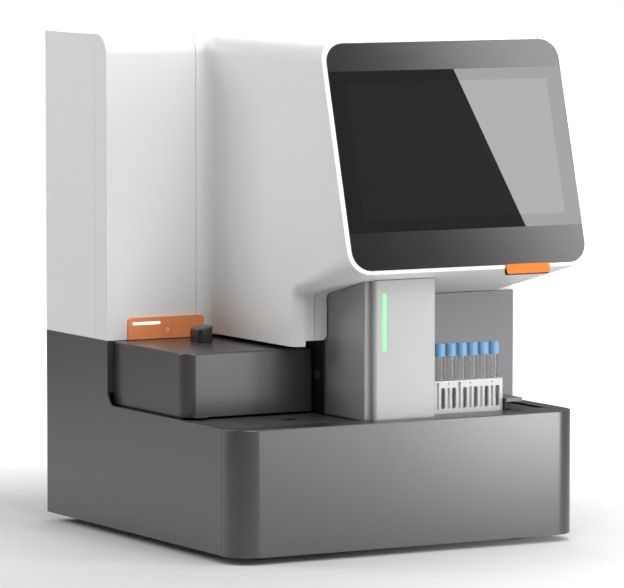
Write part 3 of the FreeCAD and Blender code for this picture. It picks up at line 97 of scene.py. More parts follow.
def add(tree, kind, feeds=(), **settings):
    """Adds a node, sets its options and sockets, and joins the outputs that feed it."""
    item = tree.nodes.new(kind)
    for name, setting in settings.items():
        socket = name.replace("_", " ").title()
        if socket in item.inputs:
            item.inputs[socket].default_value = setting
        else:
            setattr(item, name, setting)
    for output, socket in feeds:
        tree.links.new(output, item.inputs[socket])
    return item


def blank(name):
    """A new material with its tree, its main shader and the place on the object."""
    material = bpy.data.materials.new(name)
    material.use_nodes = True
    tree = material.node_tree
    place = add(tree, "ShaderNodeTexCoord").outputs["Object"]
    return material, tree, tree.nodes["Principled BSDF"], place


def surface(name, colour, roughness, grain, relief, cloud=0.03, patch=70, unevenness=0.04, **finish):
    """A solid skin. Grain and patch are sizes in millimetres, relief is the grain's depth in millimetres,
    cloud is the share by which the colour drifts and unevenness the drift of the gloss."""
    material, tree, skin, place = blank(name)
    drift = add(tree, "ShaderNodeTexNoise", [(place, "Vector")], scale=1 / (patch * MM), detail=3.0)
    shade = linear(colour)
    mix = add(tree, "ShaderNodeMix", [(drift.outputs["Fac"], "Factor")], data_type="RGBA")
    mix.inputs["A"].default_value = [part * (1 - cloud) for part in shade[:3]] + [1.0]
    mix.inputs["B"].default_value = [min(1.0, part * (1 + cloud)) for part in shade[:3]] + [1.0]
    tree.links.new(mix.outputs["Result"], skin.inputs["Base Color"])
    pores = add(tree, "ShaderNodeTexNoise", [(place, "Vector")], scale=1 / (grain * MM), detail=2.0)
    gloss = add(tree, "ShaderNodeMapRange", [(drift.outputs["Fac"], "Value")])
    gloss.inputs["To Min"].default_value = roughness - unevenness
    gloss.inputs["To Max"].default_value = roughness + unevenness
    tree.links.new(gloss.outputs["Result"], skin.inputs["Roughness"])
    bump = add(tree, "ShaderNodeBump", [(pores.outputs["Fac"], "Height")], strength=1.0, distance=relief * MM)
    tree.links.new(bump.outputs["Normal"], skin.inputs["Normal"])
    for option, setting in finish.items():
        skin.inputs[option.replace("_", " ")].default_value = setting
    return material


def glow(name, colour, strength, shell, centre, reach, rim):
    """A lit diffuser: a clear moulded shell over a light that is fullest along its middle. Centre is
    its middle, reach how far the light runs each way, and rim the width in which it fades, in mm."""
    material, tree, skin, place = blank(name)
    across = add(tree, "ShaderNodeVectorMath", [(place, "Vector")], operation="SUBTRACT")
    across.inputs[1].default_value = centre
    size = add(tree, "ShaderNodeVectorMath", [(across.outputs[0], "Vector")], operation="ABSOLUTE")
    over = add(tree, "ShaderNodeVectorMath", [(size.outputs[0], "Vector")], operation="SUBTRACT")
    over.inputs[1].default_value = mm(*reach)
    past = add(tree, "ShaderNodeVectorMath", [(over.outputs[0], "Vector")], operation="MAXIMUM")
    past.inputs[1].default_value = (0, 0, 0)
    gap = add(tree, "ShaderNodeVectorMath", [(past.outputs[0], "Vector")], operation="LENGTH")
    level = add(tree, "ShaderNodeMapRange", [(gap.outputs["Value"], "Value")],
                interpolation_type="SMOOTHSTEP")
    level.inputs["From Max"].default_value = rim * MM
    level.inputs["To Min"].default_value = strength
    level.inputs["To Max"].default_value = strength * 0.35
    tree.links.new(level.outputs["Result"], skin.inputs["Emission Strength"])
    skin.inputs["Emission Color"].default_value = linear(colour)
    skin.inputs["Base Color"].default_value = linear(shell)
    skin.inputs["Roughness"].default_value = 0.3
    return material


def middle_of(node):
    """The middle of a CAD node's box."""
    return (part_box(node)[0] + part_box(node)[1]) / 2


# Satin white two-layer paint over moulded ABS: bright, with a soft sheen and a trace of orange peel.
white_paint = surface("satin_white_painted_abs", "#EDEDEC", 0.36, 2.2, 0.004, cloud=0.008,
                      Specular_IOR_Level=0.7)
# The tower's cover takes a greyer copy of the white paint; the darker colour is painted shade, a shade chosen
# to match the photograph.
shaded_white_paint = surface("satin_white_paint_painted_shade", "#B6B6B6", 0.36, 2.2, 0.004, cloud=0.008)
# Fine-textured charcoal powder coat on sheet steel: dark, with a broad soft sheen.
charcoal_coat = surface("charcoal_powder_coat", "#323233", 0.3, 1.6, 0.004, cloud=0.02, unevenness=0.01,
                        Specular_IOR_Level=1.0, Coat_Weight=0.4, Coat_Roughness=0.28)
# The hood's coat is rubbed smoother: its top mirrors what stands behind it.
hood_coat = surface("satin_charcoal_coat", "#383839", 0.28, 1.6, 0.002, cloud=0.02, unevenness=0.01,
                    Specular_IOR_Level=0.9)
# Grey powder coat on the bay's back panel and the pusher.
grey_coat = surface("grey_powder_coat", "#717172", 0.36, 1.6, 0.006, cloud=0.02, Specular_IOR_Level=0.5)
# The tower's shell has a lighter grey coat with a thin clear coat over it.
tower_coat = surface("satin_grey_coat", "#949495", 0.3, 1.6, 0.004, cloud=0.02, unevenness=0.01,
                     Specular_IOR_Level=0.5, Coat_Weight=0.15, Coat_Roughness=0.24)
# Black ABS with a spark-eroded mould texture: almost no sheen.
black_abs = surface("textured_black_abs", "#18181A", 0.5, 1.5, 0.015, cloud=0.06)
# Black ABS from a polished mould, with a narrow bright highlight.
smooth_black_abs = surface("smooth_black_abs", "#333335", 0.22, 1.5, 0.002, cloud=0.04,
                           Specular_IOR_Level=0.8)
# Charcoal ABS of the tray, from a finely textured mould.
tray_abs = surface("textured_charcoal_abs", "#464647", 0.4, 1.5, 0.008, cloud=0.04)
# Glossy orange lacquer on moulded trim.
orange_lacquer = surface("orange_lacquered_trim", "#EC780A", 0.34, 2.0, 0.003, cloud=0.02,
                         Specular_IOR_Level=0.3)
# The column's plate is lacquered a little lighter; the lighter orange is painted light, as from the indicator
# beside it. The power key shares this lacquer.
lit_orange_lacquer = surface("orange_plate_lacquer_painted_light", "#FF9A60", 0.3, 2.0, 0.003, cloud=0.02,
                               Coat_Weight=0.3)
# Acetal rack, machined and natural white: waxy, a little translucent.
white_acetal = surface("machined_white_acetal", "#DCDCDA", 0.4, 1.2, 0.008, Subsurface_Weight=0.1)
# Black ink run into the rack's position marks and wiped flush.
mark_ink = surface("black_filled_mark", "#1D1D1F", 0.6, 0.5, 0.01, cloud=0.1)
# Sky blue polypropylene caps: waxy with a soft highlight.
blue_polypropylene = surface("sky_blue_polypropylene", "#7CB0D8", 0.36, 1.2, 0.006, Subsurface_Weight=0.08)
# Hot-dip galvanised sheet steel, with spangle about 20 mm across.
galvanised_steel = surface("galvanised_sheet_steel", "#B4B7BA", 0.42, 3.0, 0.01, cloud=0.12, patch=20,
                           Metallic=1.0)
# Turned and ground steel for shafts, rods and bolts.
ground_steel = surface("ground_steel", "#B9B9B8", 0.25, 1.0, 0.004, Metallic=1.0)
# Bead-blasted anodised aluminium.
anodised_aluminium = surface("anodised_aluminium", "#C9CBCE", 0.35, 1.0, 0.008, Metallic=1.0)
# Black nitrile rubber feet, dull and slightly dusty.
foot_rubber = surface("black_nitrile_rubber", "#1B1B1B", 0.8, 1.4, 0.03, cloud=0.15)
# Green solder mask over glass-fibre board.
solder_mask = surface("green_solder_mask", "#1C5A36", 0.35, 1.2, 0.02, cloud=0.1, patch=12)
# Satin black ink printed behind the glass of the screen's upper and lower bands.
printed_band = surface("satin_printed_band", "#181819", 0.18, 2.0, 0.001, cloud=0.01, unevenness=0.01)
# Polished black glass over the unprinted part of the screen, and over the display within it, which
# gives a second faint reflection.
polished_glass = surface("polished_black_glass", "#232324", 0.004, 30, 0.0, cloud=0.01,
                         unevenness=0.002, IOR=1.47)
display_glass = surface("polished_glass_over_display", "#272728", 0.004, 30, 0.0, cloud=0.01,
                        unevenness=0.002, IOR=1.52)
# White enamel of the power key's mark.
white_enamel = surface("white_enamel_mark", "#FFFFFF", 0.3, 1.0, 0.002)
green_light = glow("green_light_diffuser", "#8CFFA4", 0.75, "#7FD98E",
                   middle_of("status_light"), (0.5, 9, 43), 4)
white_light = glow("white_light_diffuser", "#FFE4C6", 2.4, "#F2D9C2",
                   middle_of("indicator_window"), (22, 9, 0.4), 3)


def clear_glass(name):
    """Thin blown borosilicate: clear, wet in the gloss, and light enough to cast hardly a shadow."""
    material, tree, skin, place = blank(name)
    ripple = add(tree, "ShaderNodeTexNoise", [(place, "Vector")], scale=1 / (14 * MM), detail=1.0)
    bump = add(tree, "ShaderNodeBump", [(ripple.outputs["Fac"], "Height")], strength=0.1, distance=0.005 * MM)
    tree.links.new(bump.outputs["Normal"], skin.inputs["Normal"])
    for socket, setting in (("Base Color", linear("#F8FBF9")), ("Roughness", 0.02),
                            ("IOR", 1.47), ("Transmission Weight", 1.0), ("Alpha", 0.4)):
        skin.inputs[socket].default_value = setting
    return material


tube_glass = clear_glass("borosilicate_tube_glass")


# Pieces

def put(name, mesh_work, body, slot, materials, *nodes):
    """Makes an object of a finished bmesh that rides on a body and may stand for CAD nodes."""
    mesh = bpy.data.meshes.new(name)
    mesh_work.to_mesh(mesh)
    mesh_work.free()
    for material in materials:
        mesh.materials.append(material)
    piece = bpy.data.objects.new(name, mesh)
    bpy.context.scene.collection.objects.link(piece)
    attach(piece, body)
    if nodes:
        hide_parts(*nodes)
    return piece


def body_of_node(node):
    """The body that a CAD node rides on."""
    return frame["nodes"][node]["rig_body"]


def slot_of_node(node):
    """The material slot that the record gives a CAD node."""
    return NODE_SLOTS[node]


def merged(node):
    """A bmesh of a CAD node with its loose triangles joined and its flat faces made whole."""
    work = bmesh.new()
    work.from_mesh(frame["nodes"][node].data)
    for layer in list(work.loops.layers.float_vector.values()):
        work.loops.layers.float_vector.remove(layer)
    bmesh.ops.remove_doubles(work, verts=work.verts, dist=0.002 * MM)
    bmesh.ops.dissolve_limit(work, angle_limit=math.radians(0.2), verts=work.verts, edges=work.edges)
    return work


def eased(node, edge, material, inlay=None, chosen=None):
    """A copy of a CAD node whose hard edges are eased by a small radius in millimetres. The faces
    that are chosen take the inlay's material."""
    work = merged(node)
    for face in work.faces:
        face.smooth = True
        face.material_index = 1 if inlay and chosen(face) else 0
    piece = put(f"{node}_skin", work, body_of_node(node), slot_of_node(node),
                [material, inlay] if inlay else [material], node)
    finish_edges(piece, edge)


def finish_edges(piece, edge, sharpest=30.0):
    """Eases a piece's hard edges and lets its flat faces lead the shading."""
    ease = piece.modifiers.new("ease", "BEVEL")
    ease.width = edge * MM
    ease.segments = 2
    ease.limit_method = "ANGLE"
    ease.angle_limit = math.radians(sharpest)
    level = piece.modifiers.new("level", "WEIGHTED_NORMAL")
    level.keep_sharp = True


def is_badge_shaded_rim(face):
    """Whether a face is on the badge's lower or left rim, which are painted black as shade."""
    return face.normal.z < -0.5 or face.normal.x < -0.5


INLET_PINS_ASIDE, INLET_PIN_PITCH, INLET_PIN_HALF = 12.5, 9, (1.1, 3.1)


def is_inlet_pin(face):
    """Whether a face belongs to one of the three blades inside the power inlet."""
    middle = middle_of("power_inlet") + mm(INLET_PINS_ASIDE, 0, 0)
    half_wide, half_high = (size * MM for size in INLET_PIN_HALF)
    return any(all(abs(vert.co.x - middle.x - step * INLET_PIN_PITCH * MM) < half_wide and
                   abs(vert.co.z - middle.z) < half_high for vert in face.verts)
               for step in (-1, 0, 1))


NODE_SLOTS = {part["node"]: part["material_slot"] for part in frame["record"]["subparts"]}

eased_nodes = [
    ("column_front_cover", 0.8, white_paint), ("column_side_cover", 0.8, white_paint),
    ("head_top_cover", 0.8, white_paint), ("tower_front_cover", 0.6, shaded_white_paint),
    ("tower_shell", 0.5, tower_coat), ("bay_back_panel", 0.4, grey_coat),
    ("base_front_cover", 0.6, charcoal_coat), ("left_side_panel", 0.6, charcoal_coat),
    ("right_side_panel", 0.6, charcoal_coat), ("reagent_hood", 0.4, hood_coat),
    ("chamber_back_wall", 0.4, charcoal_coat), ("reagent_tray", 0.4, tray_abs),
    ("chamber_side_wall", 0.4, black_abs), ("rack_tray", 0.4, black_abs),
    ("rack_pusher", 0.4, grey_coat), ("pusher_finger", 0.4, black_abs),
    # The badge's lower and left rim take black ABS as painted shade.
    ("orange_badge", 0.5, orange_lacquer, black_abs, is_badge_shaded_rim),
    ("orange_label", 0.5, lit_orange_lacquer), ("power_button", 0.3, lit_orange_lacquer),
    ("status_light", 0.4, green_light), ("indicator_window", 0.3, white_light),
    ("sample_tubes", 0.2, tube_glass), ("rubber_feet", 0.6, foot_rubber),
    ("rear_panel", 0.3, galvanised_steel), ("rear_screws", 0.2, ground_steel),
    ("power_inlet", 0.2, black_abs, ground_steel, is_inlet_pin), ("power_switch", 0.4, black_abs),
    ("switch_housing", 0.4, black_abs), ("data_ports", 0.3, black_abs),
    ("fan_frame", 0.3, black_abs), ("fan_rotor", 0.3, black_abs),
]
for entry in eased_nodes:
    eased(*entry)


# Screen and the lip around it

def height_on_screen(point):
    """Millimetres up the leaning face from the lip's lower edge."""
    return (point - SCREEN_ORIGIN).dot(SCREEN_UP) / MM


def soft_lip(node, radius):
    """A head cover whose outer lip is rolled over by a radius, as moulded."""
    work = merged(node)
    centre = (GLASS_LOW + GLASS_HIGH) / 2
    rolled = []
    for edge in work.edges:
        if len(edge.link_faces) != 2:
            continue
        front, side = sorted(edge.link_faces, key=lambda face: -face.normal.dot(SCREEN_OUT))
        middle = (edge.verts[0].co + edge.verts[1].co) / 2
        if front.normal.dot(SCREEN_OUT) > 0.999 and side.normal.dot(SCREEN_OUT) < 0.7 \
                and (middle - centre).dot(side.normal) > 0 and edge_is_outer(middle, side.normal):
            rolled.append(edge)
    bmesh.ops.bevel(work, geom=rolled, offset=radius * MM, segments=3, profile=0.5,
                    affect="EDGES", material=-1)
    for face in work.faces:
        face.smooth = True
    piece = put(f"{node}_skin", work, body_of_node(node), slot_of_node(node), [white_paint], node)
    finish_edges(piece, 0.6)


def edge_is_outer(middle, out):
    """Whether an edge of the lip belongs to its outer side, not to a seam or the glass's pocket."""
    right_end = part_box("head_right_cover")[1].x - MM
    return height_on_screen(middle) < 2 or abs(out.x) < 0.999 or middle.x > right_end


for node in ("head_left_cover", "head_under_cover", "head_right_cover"):
    soft_lip(node, 2.4)


def screen_glass():
    """The glass: satin printed bands above and below, polished between, with the display behind."""
    work = merged("touch_glass")
    for height in CLEAR_HEIGHTS + DISPLAY_HEIGHTS:
        bmesh.ops.bisect_plane(work, geom=work.verts[:] + work.edges[:] + work.faces[:],
                               plane_co=SCREEN_ORIGIN + SCREEN_UP * height * MM, plane_no=SCREEN_UP)
    for across in DISPLAY_SIDES:
        bmesh.ops.bisect_plane(work, geom=work.verts[:] + work.edges[:] + work.faces[:],
                               plane_co=mm(across, 0, 0), plane_no=(1, 0, 0))
    for face in work.faces:
        face.smooth = True
        middle = face.calc_center_median()
        height = height_on_screen(middle)
        if DISPLAY_HEIGHTS[0] < height < DISPLAY_HEIGHTS[1] \
                and DISPLAY_SIDES[0] < middle.x / MM < DISPLAY_SIDES[1]:
            face.material_index = 2
        elif CLEAR_HEIGHTS[0] < height < CLEAR_HEIGHTS[1]:
            face.material_index = 1
    piece = put("touch_glass_skin", work, "chassis", slot_of_node("touch_glass"),
                [printed_band, polished_glass, display_glass], "touch_glass")
    finish_edges(piece, 0.4)


screen_glass()


# Rack, caps and small pieces

TUBE_PITCH, FIRST_TUBE, TUBES = 20.6, 8.25, 7
TUBE_X = [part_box("tube_caps")[0].x + (FIRST_TUBE + step * TUBE_PITCH) * MM for step in range(TUBES)]
TUBE_Y = (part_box("tube_caps")[0].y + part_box("tube_caps")[1].y) / 2


def rack():
    """The acetal rack with its position marks filled in black."""
    work = merged("sample_rack")
    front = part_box("sample_rack")[0].y / MM
    largest, depths, heights = 6 * MM * MM, (0.05, 1.6), (258, 266)
    for face in work.faces:
        face.smooth = True
        middle = face.calc_center_median() / MM
        if face.calc_area() < largest and depths[0] < middle.y - front < depths[1] \
                and heights[0] < middle.z < heights[1]:
            face.material_index = 1
    piece = put("sample_rack_skin", work, "rack", slot_of_node("sample_rack"),
                [white_acetal, mark_ink], "sample_rack")
    finish_edges(piece, 0.4)


def caps():
    """Seven push-in caps: a finely fluted skirt, a plain rim above it and a dished top."""
    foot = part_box("tube_caps")[0].z
    flutes, flute_depth = 36, 0.035
    work = bmesh.new()
    outline = [(6.0, 0.0), (7.9, 0.0), (8.1, 0.5), (8.1, 16.5), (7.75, 16.8), (7.75, 17.3),
               (8.15, 17.7), (8.15, 20.3), (7.6, 21.0), (6.2, 21.0), (5.2, 20.3), (4.4, 18.2), (0.0, 17.8)]
    for across in TUBE_X:
        spun = bmesh.new()
        line = [spun.verts.new((radius * MM, 0, height * MM)) for radius, height in outline]
        for start, end in zip(line, line[1:]):
            spun.edges.new((start, end))
        bmesh.ops.spin(spun, geom=spun.verts[:] + spun.edges[:], axis=(0, 0, 1), cent=(0, 0, 0),
                       steps=2 * flutes, angle=math.tau, use_merge=True)
        bmesh.ops.remove_doubles(spun, verts=spun.verts, dist=0.01 * MM)
        for vert in spun.verts:
            around = math.atan2(vert.co.y, vert.co.x)
            if 0.3 * MM < vert.co.z < 16.6 * MM and vert.co.xy.length > 8 * MM \
                    and round(around / math.tau * 2 * flutes) % 2:
                vert.co.x *= 1 - flute_depth
                vert.co.y *= 1 - flute_depth
        bmesh.ops.recalc_face_normals(spun, faces=spun.faces)
        bmesh.ops.translate(spun, verts=spun.verts, vec=(across, TUBE_Y, foot))
        for face in spun.faces:
            face.smooth = True
        mesh = bpy.data.meshes.new("one_cap")
        spun.to_mesh(mesh)
        spun.free()
        work.from_mesh(mesh)
        bpy.data.meshes.remove(mesh)
    piece = put("fluted_caps", work, "rack", slot_of_node("tube_caps"), [blue_polypropylene], "tube_caps")
    finish_edges(piece, 0.15, 40)


def rings(work, loops):
    """Joins closed loops of points into one skin and closes both ends."""
    rows = [[work.verts.new(point) for point in loop] for loop in loops]
    for lower, upper in zip(rows, rows[1:]):
        for step in range(len(lower)):
            after = (step + 1) % len(lower)
            work.faces.new((lower[step], lower[after], upper[after], upper[step]))
    work.faces.new(list(reversed(rows[0])))
    work.faces.new(rows[-1])
    bmesh.ops.recalc_face_normals(work, faces=work.faces)
    for face in work.faces:
        face.smooth = True


def rounded_loop(centre, half, radius, inset, height):
    """A rounded rectangle of points, drawn in by an inset. Half is its half width and half depth."""
    corners = [(1, 1, 0), (-1, 1, 90), (-1, -1, 180), (1, -1, 270)]
    bend = max(radius - inset, 0.5)
    loop = []
    for right, ahead, start in corners:
        for step in range(9):
            turn = math.radians(start + step * 11.25)
            loop.append(centre + mm(right * (half[0] - inset - bend) + bend * math.cos(turn),
                                    ahead * (half[1] - inset - bend) + bend * math.sin(turn), height))
    return loop


def knob():
    """The hood's knob: an oblong with full corners, its top falling to the left."""
    low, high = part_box("hood_knob")
    centre = Vector(((low.x + high.x) / 2, (low.y + high.y) / 2, low.z))
    half, tall = (14.0, 19.0), (high.z - low.z) / MM
    corner, fall = 8.0, 5.0
    work = bmesh.new()
    steps = [(0.6, 0.0), (0.0, 0.6), (0.0, 12.0), (0.0, tall - 3.4), (0.5, tall - 1.5), (1.5, tall - 0.4),
             (3.0, tall), (6.0, tall)]
    loops = [rounded_loop(centre, half, corner, inset, height) for inset, height in steps]
    for loop in loops[3:]:
        for point in loop:
            leftward = 0.5 - (point.x - centre.x) / (2 * half[0] * MM)
            point.z -= fall * MM * min(1.0, max(0.0, leftward))
    rings(work, loops)
    piece = put("hood_knob_skin", work, body_of_node("hood_knob"), slot_of_node("hood_knob"),
                [smooth_black_abs], "hood_knob")
    finish_edges(piece, 0.2, 50)


def chamber_catches():
    """Two small catches on the chamber's black wall, where the closed hood ends: a strip and a latch."""
    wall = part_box("chamber_side_wall")[0].x
    catches = [("catch_strip", -129.6, 326.6, (13.5, 1.6)), ("catch_latch", -133.1, 276.7, (6.5, 7.5))]
    for name, ahead, up, size in catches:
        work = bmesh.new()
        loops = []
        for inset, out in ((0.0, 0.0), (0.0, 0.5), (0.3, 0.8), (1.0, 0.8), (1.2, 0.5)):
            loops.append([Vector((wall - out * MM, (ahead + point.x / MM) * MM, (up + point.y / MM) * MM))
                          for point in rounded_loop(Vector(), size, 1.4, inset, 0)])
        rings(work, loops)
        piece = put(name, work, "chassis", slot_of_node("chamber_side_wall"), [smooth_black_abs])
        finish_edges(piece, 0.1, 50)


def badge_painted_shadow():
    """A black strip behind the badge, painted shadow that shows as a thin line below the badge and at its
    left.
    """
    low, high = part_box("orange_badge")
    drop, top = 1.6, 7.0
    middle = Vector(((low.x + high.x) / 2 - 1.1 * MM, 0, (low.z + high.z) / 2 - (drop + top) / 2 * MM))
    half = ((high.x - low.x) / 2 / MM, (high.z - low.z) / 2 / MM + (drop - top) / 2)
    work = bmesh.new()
    rings(work, [[Vector((middle.x + point.x, low.y + back * MM, middle.z + point.y))
                  for point in rounded_loop(Vector(), half, 3.0, 0.0, 0)] for back in (3.0, 6.6)])
    piece = put("badge_painted_shadow", work, "chassis", slot_of_node("chamber_side_wall"), [black_abs])
    finish_edges(piece, 0.2, 50)


def islands(work):
    """The loose parts of a mesh, each as a list of its points' places."""
    seen, found = set(), []
    for first in work.verts:
        if first in seen:
            continue
        seen.add(first)
        island = [first]
        for vert in island:
            others = [edge.other_vert(vert) for edge in vert.link_edges]
            fresh = [other for other in others if other not in seen]
            seen.update(fresh)
            island.extend(fresh)
        found.append([vert.co.copy() for vert in island])
    return found


def socket_painted_shade():
    """A flat dark hexagon on each of the rear panel's screws, painted shade in place of its socket's hollow.
    """
    radius, sunk, proud = 2, -0.3, 0.04
    corners = [Matrix.Rotation(math.radians(turn), 3, "Y") @ mm(radius, 0, 0) for turn in range(0, 360, 60)]
    heads = merged("rear_screws")
    work = bmesh.new()
    for places in islands(heads):
        across, out, up = ([place[axis] for place in places] for axis in range(3))
        spot = Vector(((min(across) + max(across)) / 2, max(out), (min(up) + max(up)) / 2))
        rings(work, [[spot + corner + mm(0, level, 0) for corner in corners] for level in (sunk, proud)])
    heads.free()
    put("socket_painted_shade", work, "chassis", slot_of_node("rear_screws"), [black_abs])


def power_mark():
    """The usual open ring and bar, inlaid in the key's face."""
    low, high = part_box("power_button")
    centre = Vector(((low.x + high.x) / 2, low.y, (low.z + high.z) / 2 + 0.6 * MM))
    work = bmesh.new()
    line = [work.verts.new((0, 0, 2.4 * MM)), work.verts.new((0, 0, 3.1 * MM))]
    for vert in line:
        vert.co = Matrix.Rotation(math.radians(32), 3, "Y") @ vert.co
    edge = work.edges.new(line)
    bmesh.ops.spin(work, geom=line + [edge], axis=(0, 1, 0), cent=(0, 0, 0), steps=40,
                   angle=math.radians(296))
    bar = bmesh.ops.create_grid(work, x_segments=1, y_segments=1, size=0.5 * MM,
                                matrix=Matrix.Rotation(math.radians(90), 4, "X"))["verts"]
    bmesh.ops.scale(work, vec=(0.9, 1, 3.4), verts=bar)
    bmesh.ops.translate(work, vec=(0, 0, 2.2 * MM), verts=bar)
    bmesh.ops.translate(work, vec=(0, 0.05 * MM, 0), verts=work.verts)
    sides = bmesh.ops.extrude_face_region(work, geom=work.faces[:])["geom"]
    raised = [item for item in sides if isinstance(item, bmesh.types.BMVert)]
    bmesh.ops.translate(work, vec=(0, -0.15 * MM, 0), verts=raised)
    bmesh.ops.recalc_face_normals(work, faces=work.faces)
    bmesh.ops.translate(work, vec=centre, verts=work.verts)
    put("power_mark", work, "button", slot_of_node("power_button"), [white_enamel])


rack()
caps()
knob()
chamber_catches()
badge_painted_shadow()
socket_painted_shade()
power_mark()

inner_finishes = {
    "black_abs": black_abs, "sheet_steel": galvanised_steel, "steel": ground_steel,
    "aluminium": anodised_aluminium, "board": solder_mask, "rack_white": white_acetal,
    "black": black_abs, "grey": charcoal_coat, "white": white_paint, "orange": orange_lacquer,
    "light": white_light, "screen_glass": polished_glass, "cap_blue": blue_polypropylene,
    "tube_glass": tube_glass, "rubber": foot_rubber,
}
replaced = {node for node, *rest in eased_nodes} | {
    "head_left_cover", "head_under_cover", "head_right_cover", "touch_glass", "sample_rack", "tube_caps",
    "hood_knob"}
for node, item in frame["nodes"].items():
    if node in replaced:
        continue
    item.data.materials.clear()
    item.data.materials.append(inner_finishes[NODE_SLOTS[node]])


# Floor, light and camera

# The floor's painted glow leaves a painted shade about this place and makes it white past the reach, in
# metres.
SHADE_CENTRE = (-0.42, 0, 0)
SHADE_REACH = (0.35, 2.3)


def studio_paper():
    """Pale matt paper with a painted glow that brightens it to white away from the object, leaving painted
    shade near it, in the camera's rays only.
    """
    paper = surface("pale_studio_floor", "#D8D8D7", 0.7, 4, 0.01, cloud=0.004, patch=900)
    tree, skin = paper.node_tree, paper.node_tree.nodes["Principled BSDF"]
    place = add(tree, "ShaderNodeTexCoord").outputs["Object"]
    shifted = add(tree, "ShaderNodeVectorMath", [(place, "Vector")], operation="SUBTRACT")
    shifted.inputs[1].default_value = SHADE_CENTRE
    away = add(tree, "ShaderNodeVectorMath", [(shifted.outputs[0], "Vector")], operation="LENGTH")
    level = add(tree, "ShaderNodeMapRange", [(away.outputs["Value"], "Value")],
                interpolation_type="SMOOTHSTEP")
    level.inputs["From Min"].default_value = SHADE_REACH[0]
    level.inputs["From Max"].default_value = SHADE_REACH[1]
    level.inputs["To Max"].default_value = 1.05
    # The glow is painted light on the floor, and its absence near the shade centre is painted shadow.
    seen = add(tree, "ShaderNodeLightPath").outputs["Is Camera Ray"]
    fade = add(tree, "ShaderNodeMath", [(seen, 0), (level.outputs["Result"], 1)], operation="MULTIPLY")
    tree.links.new(fade.outputs[0], skin.inputs["Emission Strength"])
    skin.inputs["Emission Color"].default_value = (1, 1, 1, 1)
    return paper


def floor():
    """A pale matt floor, large enough to have no edge in view."""
    work = bmesh.new()
    bmesh.ops.create_grid(work, x_segments=1, y_segments=1, size=60)
    mesh = bpy.data.meshes.new("studio_floor")
    work.to_mesh(mesh)
    work.free()
    mesh.materials.append(studio_paper())
    item = bpy.data.objects.new("studio_floor", mesh)
    bpy.context.scene.collection.objects.link(item)


def softbox(name, centre, aim, width, height, radiance):
    """A rectangular light of even brightness that faces a point."""
    lamp = bpy.data.lights.new(name, "AREA")
    lamp.shape = "RECTANGLE"
    lamp.size, lamp.size_y = width, height
    lamp.energy = radiance * width * height * math.pi
    item = bpy.data.objects.new(name, lamp)
    toward = (Vector(aim) - Vector(centre)).normalized()
    item.matrix_world = Matrix.Translation(centre) @ toward.to_track_quat("-Z", "Y").to_matrix().to_4x4()
    item.visible_camera = False
    bpy.context.scene.collection.objects.link(item)
    return item


def backdrop():
    """A plain white backdrop that the camera sees and that lights nothing."""
    world = bpy.data.worlds.new("backdrop")
    bpy.context.scene.world = world
    world.use_nodes = True
    seen = add(world.node_tree, "ShaderNodeLightPath").outputs["Is Camera Ray"]
    white = world.node_tree.nodes["Background"]
    white.inputs["Color"].default_value = (1, 1, 1, 1)
    world.node_tree.links.new(seen, white.inputs["Strength"])


def camera():
    """The photograph's view, from the front left and a little above, fitted to its straight edges."""
    lens = bpy.data.cameras.new("camera")
    lens.lens, lens.sensor_width = 287.65, 36
    lens.clip_end = 200
    item = bpy.data.objects.new("camera", lens)
    right, up = Vector((0.87139, -0.49060, 0.0)), Vector((0.04310, 0.07655, 0.99613))
    turn = Matrix((right, up, right.cross(up))).transposed().to_4x4()
    item.matrix_world = Matrix.Translation((-4.0345, -7.1563, 1.1190)) @ turn
    bpy.context.scene.collection.objects.link(item)
    bpy.context.scene.camera = item


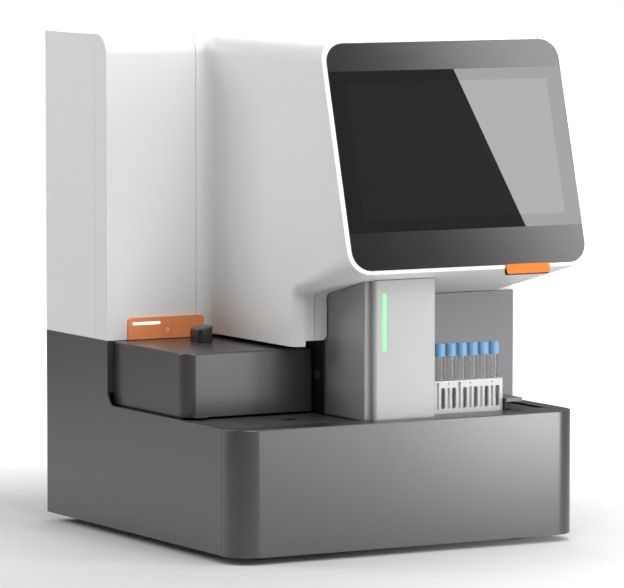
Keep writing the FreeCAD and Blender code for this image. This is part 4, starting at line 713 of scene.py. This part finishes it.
# The studio's large soft lights stand round the object at three metres. Each has its elevation and
# the direction it stands in, in degrees, its width in metres, and its brightness.
STUDIO = [
    ("left_back_low", 6, 135, 1.6, 1.0), ("left_front_middle", 26, -135, 1.44, 0.7),
    ("front_middle", 26, -90, 1.44, 5.0), ("right_middle", 26, 15, 1.44, 1.2),
    ("right_back_middle", 26, 45, 1.44, 1.4), ("back_middle", 26, 75, 1.44, 2.8),
    ("left_back_middle", 26, 148, 1.44, 6.0), ("left_high", 48, 155, 1.66, 1.2),
    ("left_front_high", 48, -112, 1.66, 3.2), ("back_high", 48, 67, 1.66, 2.0),
    ("left_top", 72, -150, 1.07, 0.6), ("front_top", 72, -90, 1.07, 7.2),
    ("right_front_top", 72, -30, 1.07, 4.8), ("right_back_top", 72, 30, 1.07, 1.0),
]
LAMP_DISTANCE, LAMP_HEIGHT = 3.0, 1.05
# Two low boards before the base light it and the bay: how far they stand across and ahead, and how bright.
BOARDS = [("front_board", 0.5, -1.7, 2.6), ("right_front_board", 0.92, -1.3, 9.0)]
BOARD_WIDTH, BOARD_HEIGHT, BOARD_RISE = 0.5, 0.36, 0.19
BOARD_AIM = (0.15, -0.3, 0.08)
# The tall card at the right, which the screen mirrors: its corner, its near edge, the way it runs
# across from that edge, and where it starts and ends along the edge.
CARD_FOOT = Vector((1.71420, -2.52983, 1.56926))
CARD_EDGE = Vector((-0.33328, 0.23379, 0.91338))
CARD_ACROSS = Vector((0.78988, 0.59820, 0.13510))
CARD_START, CARD_END, CARD_WIDTH, CARD_RADIANCE = -0.4, 1.0, 0.55, 9.3


def studio():
    """Places the soft lights, the boards and the card."""
    middle = Vector((0, 0, 0.4))
    for name, rise, turn, width, radiance in STUDIO:
        rise, turn = math.radians(rise), math.radians(turn)
        away = Vector((math.cos(rise) * math.cos(turn), math.cos(rise) * math.sin(turn), math.sin(rise)))
        softbox(name, middle + away * LAMP_DISTANCE, middle, width, LAMP_HEIGHT, radiance)
    for name, across, ahead, radiance in BOARDS:
        softbox(name, (across, ahead, BOARD_RISE), BOARD_AIM, BOARD_WIDTH, BOARD_HEIGHT, radiance)
    card = softbox("right_card", CARD_FOOT, (0, 0, 0), CARD_WIDTH, CARD_END - CARD_START, CARD_RADIANCE)
    centre = CARD_FOOT + CARD_EDGE * (CARD_START + CARD_END) / 2 + CARD_ACROSS * CARD_WIDTH / 2
    card.matrix_world = Matrix.Translation(centre) @ Matrix(
        (CARD_ACROSS, CARD_EDGE, CARD_ACROSS.cross(CARD_EDGE))).transposed().to_4x4()


floor()
backdrop()
studio()
camera()
bpy.context.scene.view_settings.view_transform = "Standard"
bpy.context.scene.view_settings.look = "None"
